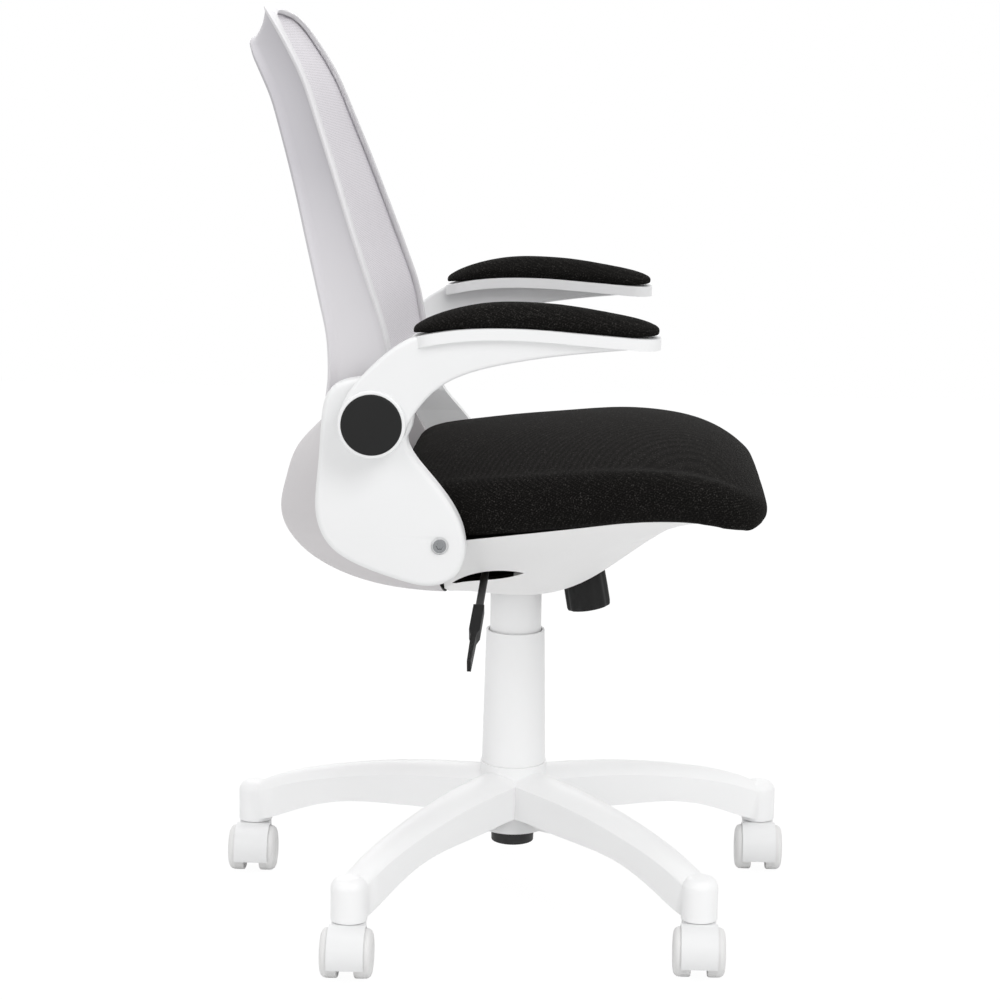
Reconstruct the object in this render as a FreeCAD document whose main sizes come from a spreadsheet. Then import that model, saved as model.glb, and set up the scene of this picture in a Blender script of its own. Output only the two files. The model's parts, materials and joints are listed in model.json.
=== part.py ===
import FreeCAD, Part
import math
import operator
import os
import types

import Sketcher

# A swivel chair with a mesh back, flip-up armrests and a padded seat.
# Millimetres and degrees. The origin is on the floor under the column, +Z is up,
# the sitter faces -Y and the sitter's right hand is on the -X side.

DRIVING_SIZES = (
    # running clearances
    ("running_fit", 0.05),
    ("seat_gap", 0.3),
    # five-legged base
    ("stem_circle", 300.0),
    ("base_turn", 5.1),
    ("hub_radius", 36.0),
    ("hub_top", 148.0),
    ("hub_bottom", 74.0),
    ("leg_root_top", 141.0),
    ("leg_end_top", 97.0),
    ("leg_end_floor", 53.0),
    ("leg_root_half_width", 25.0),
    ("leg_end_radius", 18.5),
    ("leg_side_edge", 92.0),
    ("leg_wall", 4.0),
    ("leg_crown", 11.0),
    ("leg_rib_share", 0.55),
    # casters
    ("wheel_radius", 25.0),
    ("wheel_width", 18.0),
    ("wheel_spacing", 17.0),
    ("wheel_face", 2.5),
    ("caster_trail", 21.0),
    ("axle_radius", 4.0),
    ("hood_wall", 1.8),
    ("hood_gap", 0.8),
    ("hood_half_width", 18.5),
    ("hood_web", 15.0),
    ("hood_edge_height", 15.0),
    ("hood_boss_radius", 17.5),
    ("stem_radius", 5.5),
    ("stem_length", 33.0),
    ("stem_collar_radius", 9.0),
    ("caster_gap", 1.2),
    # gas lift
    ("tube_radius", 25.0),
    ("tube_wall", 1.6),
    ("tube_bottom", 58.0),
    ("tube_top", 283.0),
    ("tube_floor", 3.0),
    ("tube_foot_radius", 23.0),
    ("tube_taper_top", 135.0),
    ("bush_length", 60.0),
    ("bush_flange", 2.0),
    ("bearing_height", 6.0),
    ("bearing_radius", 15.0),
    ("rod_radius", 5.0),
    ("rod_collar_height", 3.0),
    ("rod_collar_radius", 11.0),
    ("rod_head_radius", 8.0),
    ("rod_head_height", 3.5),
    ("piston_height", 12.0),
    ("piston_level", 188.0),
    ("cylinder_radius", 14.0),
    ("cylinder_wall", 2.0),
    ("cylinder_bottom", 160.0),
    ("cylinder_top", 418.0),
    ("cylinder_cap", 8.0),
    ("cylinder_tip_radius", 13.2),
    ("button_radius", 4.0),
    ("button_rise", 4.7),
    ("button_depth", 14.0),
    ("button_travel", 2.2),
    ("lever_button_gap", 1.8),
    # telescopic cover
    ("cover_wall", 2.5),
    ("cover_foot_radius", 34.5),
    ("cover_mouth_radius", 31.5),
    ("cover_mouth_height", 295.0),
    ("inner_cover_radius", 27.6),
    ("inner_cover_wall", 1.8),
    ("inner_cover_bottom", 240.0),
    # tilt mechanism
    ("chassis_half_width", 40.0),
    ("chassis_front", 98.0),
    ("chassis_rear", 62.0),
    ("chassis_bottom", 394.0),
    ("chassis_top", 418.0),
    ("chassis_wall", 3.0),
    ("chassis_bevel", 9.0),
    ("socket_radius", 18.5),
    ("socket_bottom", 385.0),
    ("pivot_y", 45.0),
    ("pivot_height", 408.0),
    ("pivot_radius", 6.0),
    ("pivot_lug", 10.0),
    ("plate_thickness", 3.0),
    ("plate_half_width", 85.0),
    ("plate_front", 112.0),
    ("plate_rear", 76.0),
    ("screw_across", 65.0),
    ("screw_front", 85.0),
    ("screw_rear", 60.0),
    ("screw_radius", 3.0),
    ("screw_head_radius", 5.5),
    ("screw_head_height", 4.0),
    ("screw_grip", 9.0),
    # rocking tension
    ("knob_y", 79.0),
    ("knob_drop", 25.0),
    ("knob_lean", 10.0),
    ("knob_radius", 24.0),
    ("knob_length", 38.0),
    ("knob_wall", 3.0),
    ("knob_floor", 8.0),
    ("bolt_radius", 5.0),
    ("spring_radius", 14.0),
    ("spring_wire", 4.0),
    ("spring_turns", 6.0),
    # lift lever
    ("lever_radius", 4.0),
    ("lever_bush_x", 30.0),
    ("lever_bush_radius", 8.0),
    ("lever_bush_length", 14.0),
    ("lever_trunnion_radius", 3.0),
    ("lever_lug", 3.0),
    ("lever_slot_x", 125.0),
    ("lever_slot_y", 28.0),
    ("lever_slot_height", 383.0),
    ("lever_leaf_front", 40.0),
    ("lever_leaf_rear", 33.0),
    ("lever_leaf_rise", 16.0),
    ("lever_leaf_drop", 12.0),
    ("lever_tip_x", 272.0),
    ("lever_tip_y", 36.3),
    ("lever_tip_height", 320.0),
    ("lever_bend_radius", 14.0),
    ("handle_sleeve", 48.0),
    ("handle_blade", 48.0),
    ("handle_width", 11.0),
    ("handle_depth", 13.0),
    # seat
    ("seat_slope", 7.24),
    ("seat_level", 450.5),
    ("board_thickness", 12.0),
    ("board_half_width", 210.0),
    ("board_front", 165.0),
    ("board_rear", 100.0),
    ("board_corner", 45.0),
    ("cushion_half_width", 240.0),
    ("cushion_front", 256.0),
    ("cushion_rear", 112.0),
    ("cushion_height", 72.0),
    ("cushion_crown", 22.0),
    ("cushion_skirt", 8.0),
    ("shell_half_width", 228.0),
    ("shell_front", 186.0),
    ("shell_rear", 69.0),
    ("shell_floor", 346.0),
    ("shell_wall", 3.0),
    ("shell_rear_room", 18.0),
    # back
    ("carrier_half_width", 227.5),
    ("carrier_wall", 5.0),
    ("frame_flange", 14.0),
    ("frame_flange_depth", 4.5),
    ("frame_wall", 5.0),
    ("frame_top", 957.0),
    ("frame_foot", 557.0),
    ("mesh_thickness", 1.2),
    ("mesh_bow", 18.0),
    ("mesh_overlap", 3.0),
    ("mesh_gap", 1.3),
    # side brackets
    ("bracket_inner", 228.5),
    ("bracket_outer", 252.0),
    ("bracket_flare", 5.0),
    ("bracket_edge", 6.0),
    ("bracket_bolt_y", 67.0),
    ("bracket_bolt_radius", 4.0),
    ("bracket_bolt_head", 6.5),
    ("bracket_bolt_depth", 24.0),
    ("bracket_bolt_room", 2.0),
    ("bracket_bolt_seat", 1.0),
    # armrests
    ("arm_pivot_y", 132.0),
    ("arm_pivot_height", 558.0),
    ("arm_gap", 0.5),
    ("arm_hub_radius", 33.0),
    ("arm_hub_width", 33.5),
    ("arm_web_width", 28.0),
    ("arm_edge", 4.0),
    ("arm_bolt_radius", 5.0),
    ("arm_bolt_head", 9.0),
    ("arm_bolt_grip", 34.0),
    ("arm_bolt_room", 2.0),
    ("cap_radius", 29.5),
    ("cap_thickness", 4.0),
    ("pad_half_width", 29.0),
    ("pad_centre", 260.0),
    ("pad_crown", 21.0),
    ("arm_top", 653.0),
    ("arm_plate", 11.0),
    ("arm_front", 143.0),
    ("arm_rear", 95.0),
)

LEG_COUNT = 5
TURN = 360.0

doc = FreeCAD.newDocument("office_chair")
sheet = doc.addObject("Spreadsheet::Sheet", "Sizes")
for row, (name, value) in enumerate(DRIVING_SIZES, start=1):
    sheet.set(f"A{row}", name)
    sheet.set(f"B{row}", str(value))
    sheet.setAlias(f"B{row}", name)
doc.recompute()


class Size:
    """A number together with the sheet expression that gives it."""

    def __init__(self, value, text):
        self.value = value
        self.text = text

    def __float__(self):
        return float(self.value)

    def __add__(self, other):
        return combine(operator.add, "+", self, other)

    def __radd__(self, other):
        return combine(operator.add, "+", other, self)

    def __sub__(self, other):
        return combine(operator.sub, "-", self, other)

    def __rsub__(self, other):
        return combine(operator.sub, "-", other, self)

    def __mul__(self, other):
        return combine(operator.mul, "*", self, other)

    def __rmul__(self, other):
        return combine(operator.mul, "*", other, self)

    def __truediv__(self, other):
        return combine(operator.truediv, "/", self, other)

    def __neg__(self):
        return combine(operator.mul, "*", -1, self)


def text_of(size):
    return size.text if isinstance(size, Size) else str(size)


def combine(work, sign, left, right):
    return Size(work(float(left), float(right)), f"({text_of(left)} {sign} {text_of(right)})")


def sine(angle):
    return Size(math.sin(math.radians(float(angle))), f"sin({text_of(angle)})")


def cosine(angle):
    return Size(math.cos(math.radians(float(angle))), f"cos({text_of(angle)})")


def tangent(angle):
    return Size(math.tan(math.radians(float(angle))), f"tan({text_of(angle)})")


# s holds the sizes as expressions, n holds the same sizes as the sheet's plain numbers.
s = types.SimpleNamespace(**{name: Size(value, f"Sizes.{name}") for name, value in DRIVING_SIZES})
n = types.SimpleNamespace(**{name: float(sheet.get(name)) for name, value in DRIVING_SIZES})

sub_parts = []


def finish(item, label):
    """Names a document object as one sub-part of the chair."""
    item.Label = label
    sub_parts.append(item)
    return item


def vec(x, y, z):
    return FreeCAD.Vector(float(x), float(y), float(z))


def place(item, x=0, y=0, z=0, axis=(0, 0, 1), angle=0):
    """Puts an object at expressions x, y, z, turned by an angle about an axis."""
    item.Placement = FreeCAD.Placement(vec(x, y, z), FreeCAD.Rotation(vec(*axis), float(angle)))
    for name, size in (("Base.x", x), ("Base.y", y), ("Base.z", z), ("Rotation.Angle", angle)):
        if isinstance(size, Size):
            item.setExpression(f"Placement.{name}", size.text)
    return item


def bind(item, **sizes):
    for name, size in sizes.items():
        item.setExpression(name, text_of(size))
    return item


# Part primitives and booleans


def box(name, x, y, z):
    """A box between three (low, high) pairs of expressions."""
    item = doc.addObject("Part::Box", name)
    bind(item, Length=x[1] - x[0], Width=y[1] - y[0], Height=z[1] - z[0])
    return place(item, x[0], y[0], z[0])


def cylinder(name, radius, height, x=0, y=0, z=0, axis=(0, 0, 1), angle=0):
    item = doc.addObject("Part::Cylinder", name)
    bind(item, Radius=radius, Height=height)
    return place(item, x, y, z, axis, angle)


def along_x(name, radius, low, high, y, z):
    return cylinder(name, radius, high - low, low, y, z, (0, 1, 0), 90)


def along_y(name, radius, low, high, x, z):
    return cylinder(name, radius, high - low, x, low, z, (1, 0, 0), -90)


def fuse(name, items):
    item = doc.addObject("Part::MultiFuse", name)
    item.Shapes = items
    return item


def cut(name, base, tool):
    item = doc.addObject("Part::Cut", name)
    item.Base = base
    item.Tool = tool
    return item


# PartDesign bodies


def new_body(label):
    body = doc.addObject("PartDesign::Body", label)
    return finish(body, label)


def new_sketch(body, name, role):
    sketch = body.newObject("Sketcher::SketchObject", name)
    plane = next(feature for feature in body.Origin.OriginFeatures if feature.Role == role)
    sketch.AttachmentSupport = [(plane, "")]
    sketch.MapMode = "FlatFace"
    return sketch


def pin_point(sketch, edge, point, across, up):
    """Holds one point of a sketch at two expressions from the sketch's origin."""
    for kind, size in (("DistanceX", across), ("DistanceY", up)):
        index = sketch.addConstraint(Sketcher.Constraint(kind, -1, 1, edge, point, float(size)))
        name = f"{kind}_{edge}"
        sketch.renameConstraint(index, name)
        if isinstance(size, Size):
            sketch.setExpression(f"Constraints.{name}", size.text)


def draw_polygon(sketch, points):
    start = sketch.GeometryCount
    count = len(points)
    for index, (across, up) in enumerate(points):
        next_across, next_up = points[(index + 1) % count]
        sketch.addGeometry(Part.LineSegment(vec(across, up, 0), vec(next_across, next_up, 0)))
    for index in range(count):
        following = start + (index + 1) % count
        sketch.addConstraint(Sketcher.Constraint("Coincident", start + index, 2, following, 1))
    for index, (across, up) in enumerate(points):
        pin_point(sketch, start + index, 1, across, up)


def turned(label, points, role="XZ_Plane"):
    """A piece turned about the sketch's upright axis from a (radius, height) outline."""
    body = new_body(label)
    sketch = new_sketch(body, f"{label}_outline", role)
    draw_polygon(sketch, points)
    solid = body.newObject("PartDesign::Revolution", f"{label}_turn")
    solid.Profile = sketch
    solid.ReferenceAxis = (sketch, ["V_Axis"])
    solid.Angle = TURN
    return body


# Free forms made from edges, with sizes read from the sheet


def line(start, end):
    return Part.LineSegment(start, end).toShape()


def arc(start, middle, end):
    return Part.Arc(start, middle, end).toShape()


def spline(points):
    curve = Part.BSplineCurve()
    curve.interpolate(points)
    return curve.toShape()


def closed_spline(points):
    curve = Part.BSplineCurve()
    curve.interpolate(Points=points, PeriodicFlag=True)
    return Part.Wire([curve.toShape()])


def polygon(points):
    return Part.makePolygon(points + points[:1])


def loft(wires):
    return Part.makeLoft(wires, True, False)


def rounded_wire(points, radius):
    """A closed outline of straight runs whose corners are tangent arcs."""
    edges = []
    count = len(points)
    ends = []
    for index, corner in enumerate(points):
        before = (points[index - 1] - corner).normalize()
        after = (points[(index + 1) % count] - corner).normalize()
        half = before.getAngle(after) / 2
        reach = radius / math.tan(half)
        bisector = (before + after).normalize()
        nearest = corner + bisector * (radius / math.sin(half) - radius)
        ends.append((corner + before * reach, nearest, corner + after * reach))
    for index, (arrive, nearest, leave) in enumerate(ends):
        edges.append(arc(arrive, nearest, leave))
        edges.append(line(leave, ends[(index + 1) % count][0]))
    return Part.Wire(edges)


def free_form(label, shape):
    item = doc.addObject("Part::Feature", label)
    item.Shape = shape
    return finish(item, label)


def mirrored(shape):
    return shape.mirror(vec(0, 0, 0), vec(1, 0, 0))


def both_sides(name, make_shape):
    """The sitter's right piece and its mirror image on the left."""
    right = make_shape()
    free_form(f"{name}_right", right)
    free_form(f"{name}_left", mirrored(right))


# Casters


def hood_radius():
    return s.wheel_radius + s.hood_gap + s.hood_wall


def hood_top():
    return s.leg_end_floor - s.caster_gap


def caster_stem(label, x, y):
    """Steel pin that turns in the leg's socket, with a collar on top of the hood."""
    foot = hood_top() - s.hood_wall * 4
    outline = [
        (0, foot),
        (s.stem_radius, foot),
        (s.stem_radius, hood_top()),
        (s.stem_collar_radius, hood_top()),
        (s.stem_collar_radius, s.leg_end_floor),
        (s.stem_radius, s.leg_end_floor),
        (s.stem_radius, s.leg_end_floor + s.stem_length - s.stem_radius / 2),
        (s.stem_radius / 2, s.leg_end_floor + s.stem_length),
        (0, s.leg_end_floor + s.stem_length),
    ]
    place(turned(label, outline), x, y)


def caster_hood(label, x, y):
    """Moulded fork: a web between the wheels, a fender over them and the stem's boss."""
    axle_x = x - s.caster_trail
    half = s.hood_half_width
    fender = along_y(f"{label}_fender", hood_radius(), y - half, y + half, axle_x, s.wheel_radius)
    boss_height = hood_top() - s.wheel_radius
    boss = cylinder(f"{label}_boss", s.hood_boss_radius, boss_height, x, y, s.wheel_radius)
    reach = hood_radius() + s.hood_boss_radius
    below = box(
        f"{label}_below",
        (axle_x - reach, axle_x + reach),
        (y - half * 2, y + half * 2),
        (s.hood_edge_height - hood_radius() * 2, s.hood_edge_height),
    )
    well = s.wheel_radius + s.hood_gap
    web = s.hood_web / 2
    right_well = along_y(f"{label}_well_r", well, y - half * 2, y - web, axle_x, s.wheel_radius)
    left_well = along_y(f"{label}_well_l", well, y + web, y + half * 2, axle_x, s.wheel_radius)
    axle_hole = along_y(
        f"{label}_axle_hole",
        s.axle_radius + s.running_fit,
        y - half,
        y + half,
        axle_x,
        s.wheel_radius,
    )
    stem_hole = cylinder(
        f"{label}_stem_hole",
        s.stem_radius + s.running_fit,
        s.hood_wall * 5,
        x,
        y,
        hood_top() - s.hood_wall * 4 - s.running_fit,
    )
    solid = fuse(f"{label}_solid", [fender, boss])
    hollow = fuse(f"{label}_hollow", [below, right_well, left_well, axle_hole, stem_hole])
    finish(cut(f"{label}_cut", solid, hollow), label)


def caster_axle(label, x, y):
    half = s.wheel_spacing / 2 + s.wheel_width - s.wheel_face - s.seat_gap
    axle_x = x - s.caster_trail
    finish(along_y(f"{label}_pin", s.axle_radius, y - half, y + half, axle_x, s.wheel_radius), label)


def caster_wheel(label, x, y, facing):
    """Wheel with a blind bore: a flat tread, a rounded shoulder and a closed outer face."""
    inner = s.wheel_spacing / 2
    outer = inner + s.wheel_width
    bore = s.axle_radius + s.running_fit
    edge = s.wheel_face / 2
    outline = [
        (bore, inner),
        (s.wheel_radius - edge, inner),
        (s.wheel_radius, inner + edge),
        (s.wheel_radius, outer - s.wheel_face * 2),
        (s.wheel_radius - edge, outer - s.wheel_face),
        (s.wheel_radius - s.wheel_face * 2, outer),
        (0, outer),
        (0, outer - s.wheel_face),
        (bore, outer - s.wheel_face),
    ]
    wheel = turned(label, outline, "XY_Plane")
    place(wheel, x - s.caster_trail, y, s.wheel_radius, (0, 0, 1), facing)


def make_casters():
    for number in range(1, LEG_COUNT + 1):
        angle = s.base_turn + (number - 1) * TURN / LEG_COUNT
        x = s.stem_circle * cosine(angle)
        y = s.stem_circle * sine(angle)
        caster_stem(f"caster_{number}_stem", x, y)
        caster_hood(f"caster_{number}_hood", x, y)
        caster_axle(f"caster_{number}_axle", x, y)
        caster_wheel(f"caster_{number}_wheel_rear", x, y, 0)
        caster_wheel(f"caster_{number}_wheel_front", x, y, TURN / 2)


# Base


def leg_section(radius, half_width, floor, top, crown):
    """Cross-section of a leg at a distance from the column: upright sides and an arched top."""
    shoulder = top - crown
    low_right = vec(radius, -half_width, floor)
    high_right = vec(radius, -half_width, shoulder)
    high_left = vec(radius, half_width, shoulder)
    low_left = vec(radius, half_width, floor)
    edges = [
        line(low_right, high_right),
        arc(high_right, vec(radius, 0, top), high_left),
        line(high_left, low_left),
        line(low_left, low_right),
    ]
    return Part.Wire(edges)


def leg_stations(inset):
    """Leg sections from hub to caster, drawn in by a wall's thickness for the hollow side."""
    fall = n.leg_root_top - n.leg_end_top
    arch = n.leg_side_edge - n.leg_end_floor
    end_half_width = n.leg_end_radius - n.leg_wall / 2
    stations = (
        # share of the leg's length, share of the fall of the top, of the lower edge, of the taper
        (0.00, 0.00, 0.00, 0.0),
        (0.25, 0.06, 0.00, 0.2),
        (0.50, 0.22, 0.04, 0.55),
        (0.70, 0.44, 0.26, 0.8),
        (0.87, 0.72, 0.70, 1.0),
        (1.00, 1.08, 0.94, 1.0),
    )
    wires = []
    root = n.tube_radius + n.leg_wall / 2
    for along, drop, lower, taper in stations:
        radius = root + along * (n.stem_circle - root)
        half = n.leg_root_half_width + (end_half_width - n.leg_root_half_width) * taper
        top = n.leg_root_top - fall * drop
        floor = n.leg_side_edge - arch * lower
        if inset and along == 1.0:
            radius -= n.leg_end_radius + inset
        wires.append(leg_section(radius, half - inset, floor - 2 * inset, top - inset, n.leg_crown))
    return wires


def leg_end():
    """Round boss over the caster, with the stem's socket still to be bored."""
    height = n.leg_end_top - n.leg_end_floor
    boss = Part.makeCylinder(n.leg_end_radius, height, vec(n.stem_circle, 0, n.leg_end_floor))
    rim = [edge for edge in boss.Edges if edge.BoundBox.ZMin > n.leg_end_top - 1]
    return boss.makeFillet(n.leg_crown, rim)


def make_base():
    outer = loft(leg_stations(0))
    hollow = loft(leg_stations(n.leg_wall))
    rib_height = n.leg_root_top - n.leg_crown - n.hub_bottom
    rib_length = n.leg_rib_share * n.stem_circle
    root = n.tube_radius + n.leg_wall / 2
    rib = Part.makeBox(rib_length - root, n.leg_wall, rib_height, vec(root, -n.leg_wall / 2, n.hub_bottom))
    slope = math.degrees(math.atan2(n.leg_side_edge - n.hub_bottom, rib_length))
    trim = Part.makeBox(rib_length * 2, n.leg_wall * 2, rib_height, vec(0, -n.leg_wall, -rib_height))
    trim.rotate(vec(0, 0, 0), vec(0, 1, 0), -slope)
    trim.translate(vec(0, 0, n.hub_bottom))
    leg = outer.cut(hollow).fuse([rib.cut(trim), leg_end()])
    turns = [n.base_turn + index * TURN / LEG_COUNT for index in range(LEG_COUNT)]
    legs = [leg.copy().rotate(vec(0, 0, 0), vec(0, 0, 1), turn) for turn in turns]
    hub_height = n.hub_top - n.hub_bottom
    hub = Part.makeCylinder(n.hub_radius, hub_height, vec(0, 0, n.hub_bottom))
    solid = hub.fuse(legs)
    fit = n.running_fit
    taper_length = n.tube_taper_top - n.tube_bottom
    bore = Part.makeCone(
        n.tube_foot_radius + fit,
        n.tube_radius + fit,
        taper_length,
        vec(0, 0, n.tube_bottom),
    )
    upper_bore = Part.makeCylinder(n.tube_radius + fit, n.hub_top, vec(0, 0, n.tube_taper_top))
    socket_depth = n.stem_length + n.seat_gap
    stem_socket = Part.makeCylinder(
        n.stem_radius + fit,
        socket_depth,
        vec(n.stem_circle, 0, n.leg_end_floor),
    )
    sockets = [stem_socket.copy().rotate(vec(0, 0, 0), vec(0, 0, 1), turn) for turn in turns]
    free_form("star_base", solid.cut([bore, upper_bore] + sockets).removeSplitter())


# Gas lift and its covers


def make_lift():
    fit = s.running_fit
    bore = s.tube_radius - s.tube_wall
    floor = s.tube_bottom + s.tube_floor
    turned("lift_outer_tube", [
        (s.rod_radius + fit, s.tube_bottom),
        (s.tube_foot_radius, s.tube_bottom),
        (s.tube_radius, s.tube_taper_top),
        (s.tube_radius, s.tube_top),
        (bore, s.tube_top),
        (bore, s.tube_taper_top),
        (s.tube_foot_radius - s.tube_wall, floor),
        (s.rod_radius + fit, floor),
    ])
    turned("lift_guide_bush", [
        (s.cylinder_radius + fit, s.tube_top - s.bush_length),
        (bore - fit, s.tube_top - s.bush_length),
        (bore - fit, s.tube_top),
        (s.tube_radius, s.tube_top),
        (s.tube_radius, s.tube_top + s.bush_flange),
        (s.cylinder_radius + fit, s.tube_top + s.bush_flange),
    ])
    bearing_top = floor + s.bearing_height
    groove = s.bearing_height / 3
    turned("lift_thrust_bearing", [
        (s.rod_radius + fit, floor),
        (s.bearing_radius, floor),
        (s.bearing_radius, floor + groove),
        (s.bearing_radius - groove, floor + groove),
        (s.bearing_radius - groove, bearing_top - groove),
        (s.bearing_radius, bearing_top - groove),
        (s.bearing_radius, bearing_top),
        (s.rod_radius + fit, bearing_top),
    ])
    collar_foot = bearing_top + fit
    collar_top = collar_foot + s.rod_collar_height
    head_top = s.tube_bottom - fit
    head_foot = head_top - s.rod_head_height
    piston_radius = s.cylinder_radius - s.cylinder_wall - fit
    piston_top = s.piston_level + s.piston_height
    turned("lift_piston_rod", [
        (0, head_foot),
        (s.rod_head_radius, head_foot),
        (s.rod_head_radius, head_top),
        (s.rod_radius, head_top),
        (s.rod_radius, collar_foot),
        (s.rod_collar_radius, collar_foot),
        (s.rod_collar_radius, collar_top),
        (s.rod_radius, collar_top),
        (s.rod_radius, s.piston_level),
        (piston_radius, s.piston_level),
        (piston_radius, piston_top),
        (0, piston_top),
    ])
    chamber = s.cylinder_radius - s.cylinder_wall
    well = s.cylinder_top - s.button_depth - s.button_travel
    turned("lift_cylinder", [
        (s.rod_radius + fit, s.cylinder_bottom),
        (s.cylinder_radius, s.cylinder_bottom),
        (s.cylinder_radius, s.socket_bottom),
        (s.cylinder_tip_radius, s.cylinder_top),
        (s.button_radius + fit, s.cylinder_top),
        (s.button_radius + fit, well),
        (0, well),
        (0, well - s.cylinder_cap),
        (chamber, well - s.cylinder_cap),
        (chamber, s.cylinder_bottom + s.cylinder_cap),
        (s.rod_radius + fit, s.cylinder_bottom + s.cylinder_cap),
    ])
    button_top = s.cylinder_top + s.button_rise
    turned("lift_release_button", [
        (0, s.cylinder_top - s.button_depth),
        (s.button_radius, s.cylinder_top - s.button_depth),
        (s.button_radius, button_top),
        (0, button_top),
    ])
    turned("cover_lower", [
        (s.cover_foot_radius - s.cover_wall, s.hub_top),
        (s.cover_foot_radius, s.hub_top),
        (s.cover_mouth_radius, s.cover_mouth_height),
        (s.cover_mouth_radius - s.cover_wall, s.cover_mouth_height),
    ])
    cover_top = s.socket_bottom - fit
    turned("cover_upper", [
        (s.inner_cover_radius - s.inner_cover_wall, s.inner_cover_bottom),
        (s.inner_cover_radius, s.inner_cover_bottom),
        (s.inner_cover_radius, cover_top),
        (s.cylinder_radius + fit, cover_top),
        (s.cylinder_radius + fit, cover_top - s.inner_cover_wall),
        (s.inner_cover_radius - s.inner_cover_wall, cover_top - s.inner_cover_wall),
    ])


# Tilt mechanism


def lever_geometry():
    """The bent rod's line: over the button, through its bush, then out and down to the handle."""
    rod_height = n.cylinder_top + n.button_rise + n.lever_radius + n.lever_button_gap
    slot = vec(-n.lever_slot_x, n.lever_slot_y, n.lever_slot_height)
    tip = vec(-n.lever_tip_x, n.lever_tip_y, n.lever_tip_height)
    outward = (tip - slot).normalize()
    bend_x = -n.lever_bush_x * 1.75
    bend = slot + outward * ((bend_x - slot.x) / outward.x)
    over_button = vec(0, 0, rod_height)
    inward = (over_button - bend).normalize()
    bush = bend + inward * ((-n.lever_bush_x - bend.x) / inward.x)
    inner_end = over_button + inward * n.lever_bend_radius
    return types.SimpleNamespace(
        inner_end=inner_end, bush=bush, bend=bend, tip=tip, inward=inward, outward=outward
    )


def rod_along(start, end, radius):
    run = end - start
    return Part.makeCylinder(radius, run.Length, start, run)


def bent_rod(start, bend, end, radius, bend_radius):
    """A round rod of two straight runs joined by a tangent arc."""
    back = (start - bend).normalize()
    ahead = (end - bend).normalize()
    half = back.getAngle(ahead) / 2
    reach = bend_radius / math.tan(half)
    middle = bend + (back + ahead).normalize() * (bend_radius / math.sin(half) - bend_radius)
    first = bend + back * reach
    last = bend + ahead * reach
    path = Part.Wire([line(start, first), arc(first, middle, last), line(last, end)])
    section = Part.Wire([Part.Circle(start, -back, radius).toShape()])
    return path.makePipeShell([section], True, False)


def lever_lug_span():
    """Where the two lugs that hold the lever's bush stand, along Y."""
    lever = lever_geometry()
    inner = n.lever_bush_length / 2 + n.seat_gap
    return lever.bush.y - inner, lever.bush.y + inner


def chassis_wedge(size):
    """Prism along the chassis's lower front edge, taken off so that the tilting hull clears it."""
    side = -2 * n.chassis_half_width
    low = vec(side, -n.chassis_front, n.chassis_bottom)
    outline = Part.makePolygon([low, low + vec(0, size, 0), low + vec(0, 0, size), low])
    return Part.Face(outline).extrude(vec(-2 * side, 0, 0))


def make_chassis():
    """Pressed steel box on the column, with the lift's socket and the lever's lugs."""
    half = n.chassis_half_width
    wall = n.chassis_wall
    fit = n.running_fit
    length = n.chassis_front + n.chassis_rear
    height = n.chassis_top - n.chassis_bottom
    corner = vec(-half, -n.chassis_front, n.chassis_bottom)
    tray = Part.makeBox(2 * half, length, height, corner)
    tray = tray.cut(chassis_wedge(n.chassis_bevel))
    hollow = Part.makeBox(2 * half - 2 * wall, length - 2 * wall, height, corner + vec(wall, wall, wall))
    hollow = hollow.cut(chassis_wedge(n.chassis_bevel + 1.5 * wall))
    socket = Part.makeCylinder(
        n.socket_radius,
        n.cylinder_top - n.socket_bottom - n.chassis_wall,
        vec(0, 0, n.socket_bottom),
    )
    lever = lever_geometry()
    lug_bottom = n.chassis_bottom
    lug_top = lever.bush.z + n.lever_trunnion_radius + n.lever_lug
    lug_width = 2 * n.lever_trunnion_radius + 2 * n.lever_lug
    lugs = []
    low, high = lever_lug_span()
    for y in (low - n.lever_lug, high):
        start = vec(lever.bush.x - lug_width / 2, y, lug_bottom)
        lugs.append(Part.makeBox(lug_width, n.lever_lug, lug_top - lug_bottom, start))
    solid = tray.cut(hollow).fuse([socket] + lugs)
    bore = Part.makeCone(
        n.cylinder_radius + fit,
        n.cylinder_tip_radius + fit,
        n.cylinder_top - n.socket_bottom,
        vec(0, 0, n.socket_bottom),
    )
    pivot_hole = Part.makeCylinder(
        n.pivot_radius + fit,
        4 * half,
        vec(-2 * half, n.pivot_y, n.pivot_height),
        vec(1, 0, 0),
    )
    trunnion_hole = Part.makeCylinder(
        n.lever_trunnion_radius + fit,
        4 * n.lever_bush_length,
        lever.bush - vec(0, 2 * n.lever_bush_length, 0),
        vec(0, 1, 0),
    )
    notch_half = n.lever_bush_length
    rod_at_wall = lever.bush + (lever.bend - lever.bush) * (
        (half - n.lever_bush_x) / (lever.bush.x - lever.bend.x)
    )
    notch_floor = rod_at_wall.z - 3 * n.lever_radius
    notch = Part.makeBox(
        2 * wall,
        2 * notch_half,
        height,
        vec(-half - wall / 2, rod_at_wall.y - notch_half, notch_floor),
    )
    knob = knob_frame()
    along = (n.chassis_bottom - knob.base.z) / knob.up.z
    crossing = knob.base + knob.up * along
    slot_half = 1.6 * n.bolt_radius
    slot_front = crossing.y - 4.2 * n.bolt_radius
    bolt_slot = Part.makeBox(
        2 * slot_half,
        crossing.y + slot_half - slot_front,
        4 * wall,
        vec(-slot_half, slot_front, n.chassis_bottom - wall),
    )
    holes = [bore, pivot_hole, trunnion_hole, notch, bolt_slot]
    free_form("mechanism_chassis", solid.cut(holes).removeSplitter())


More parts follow.
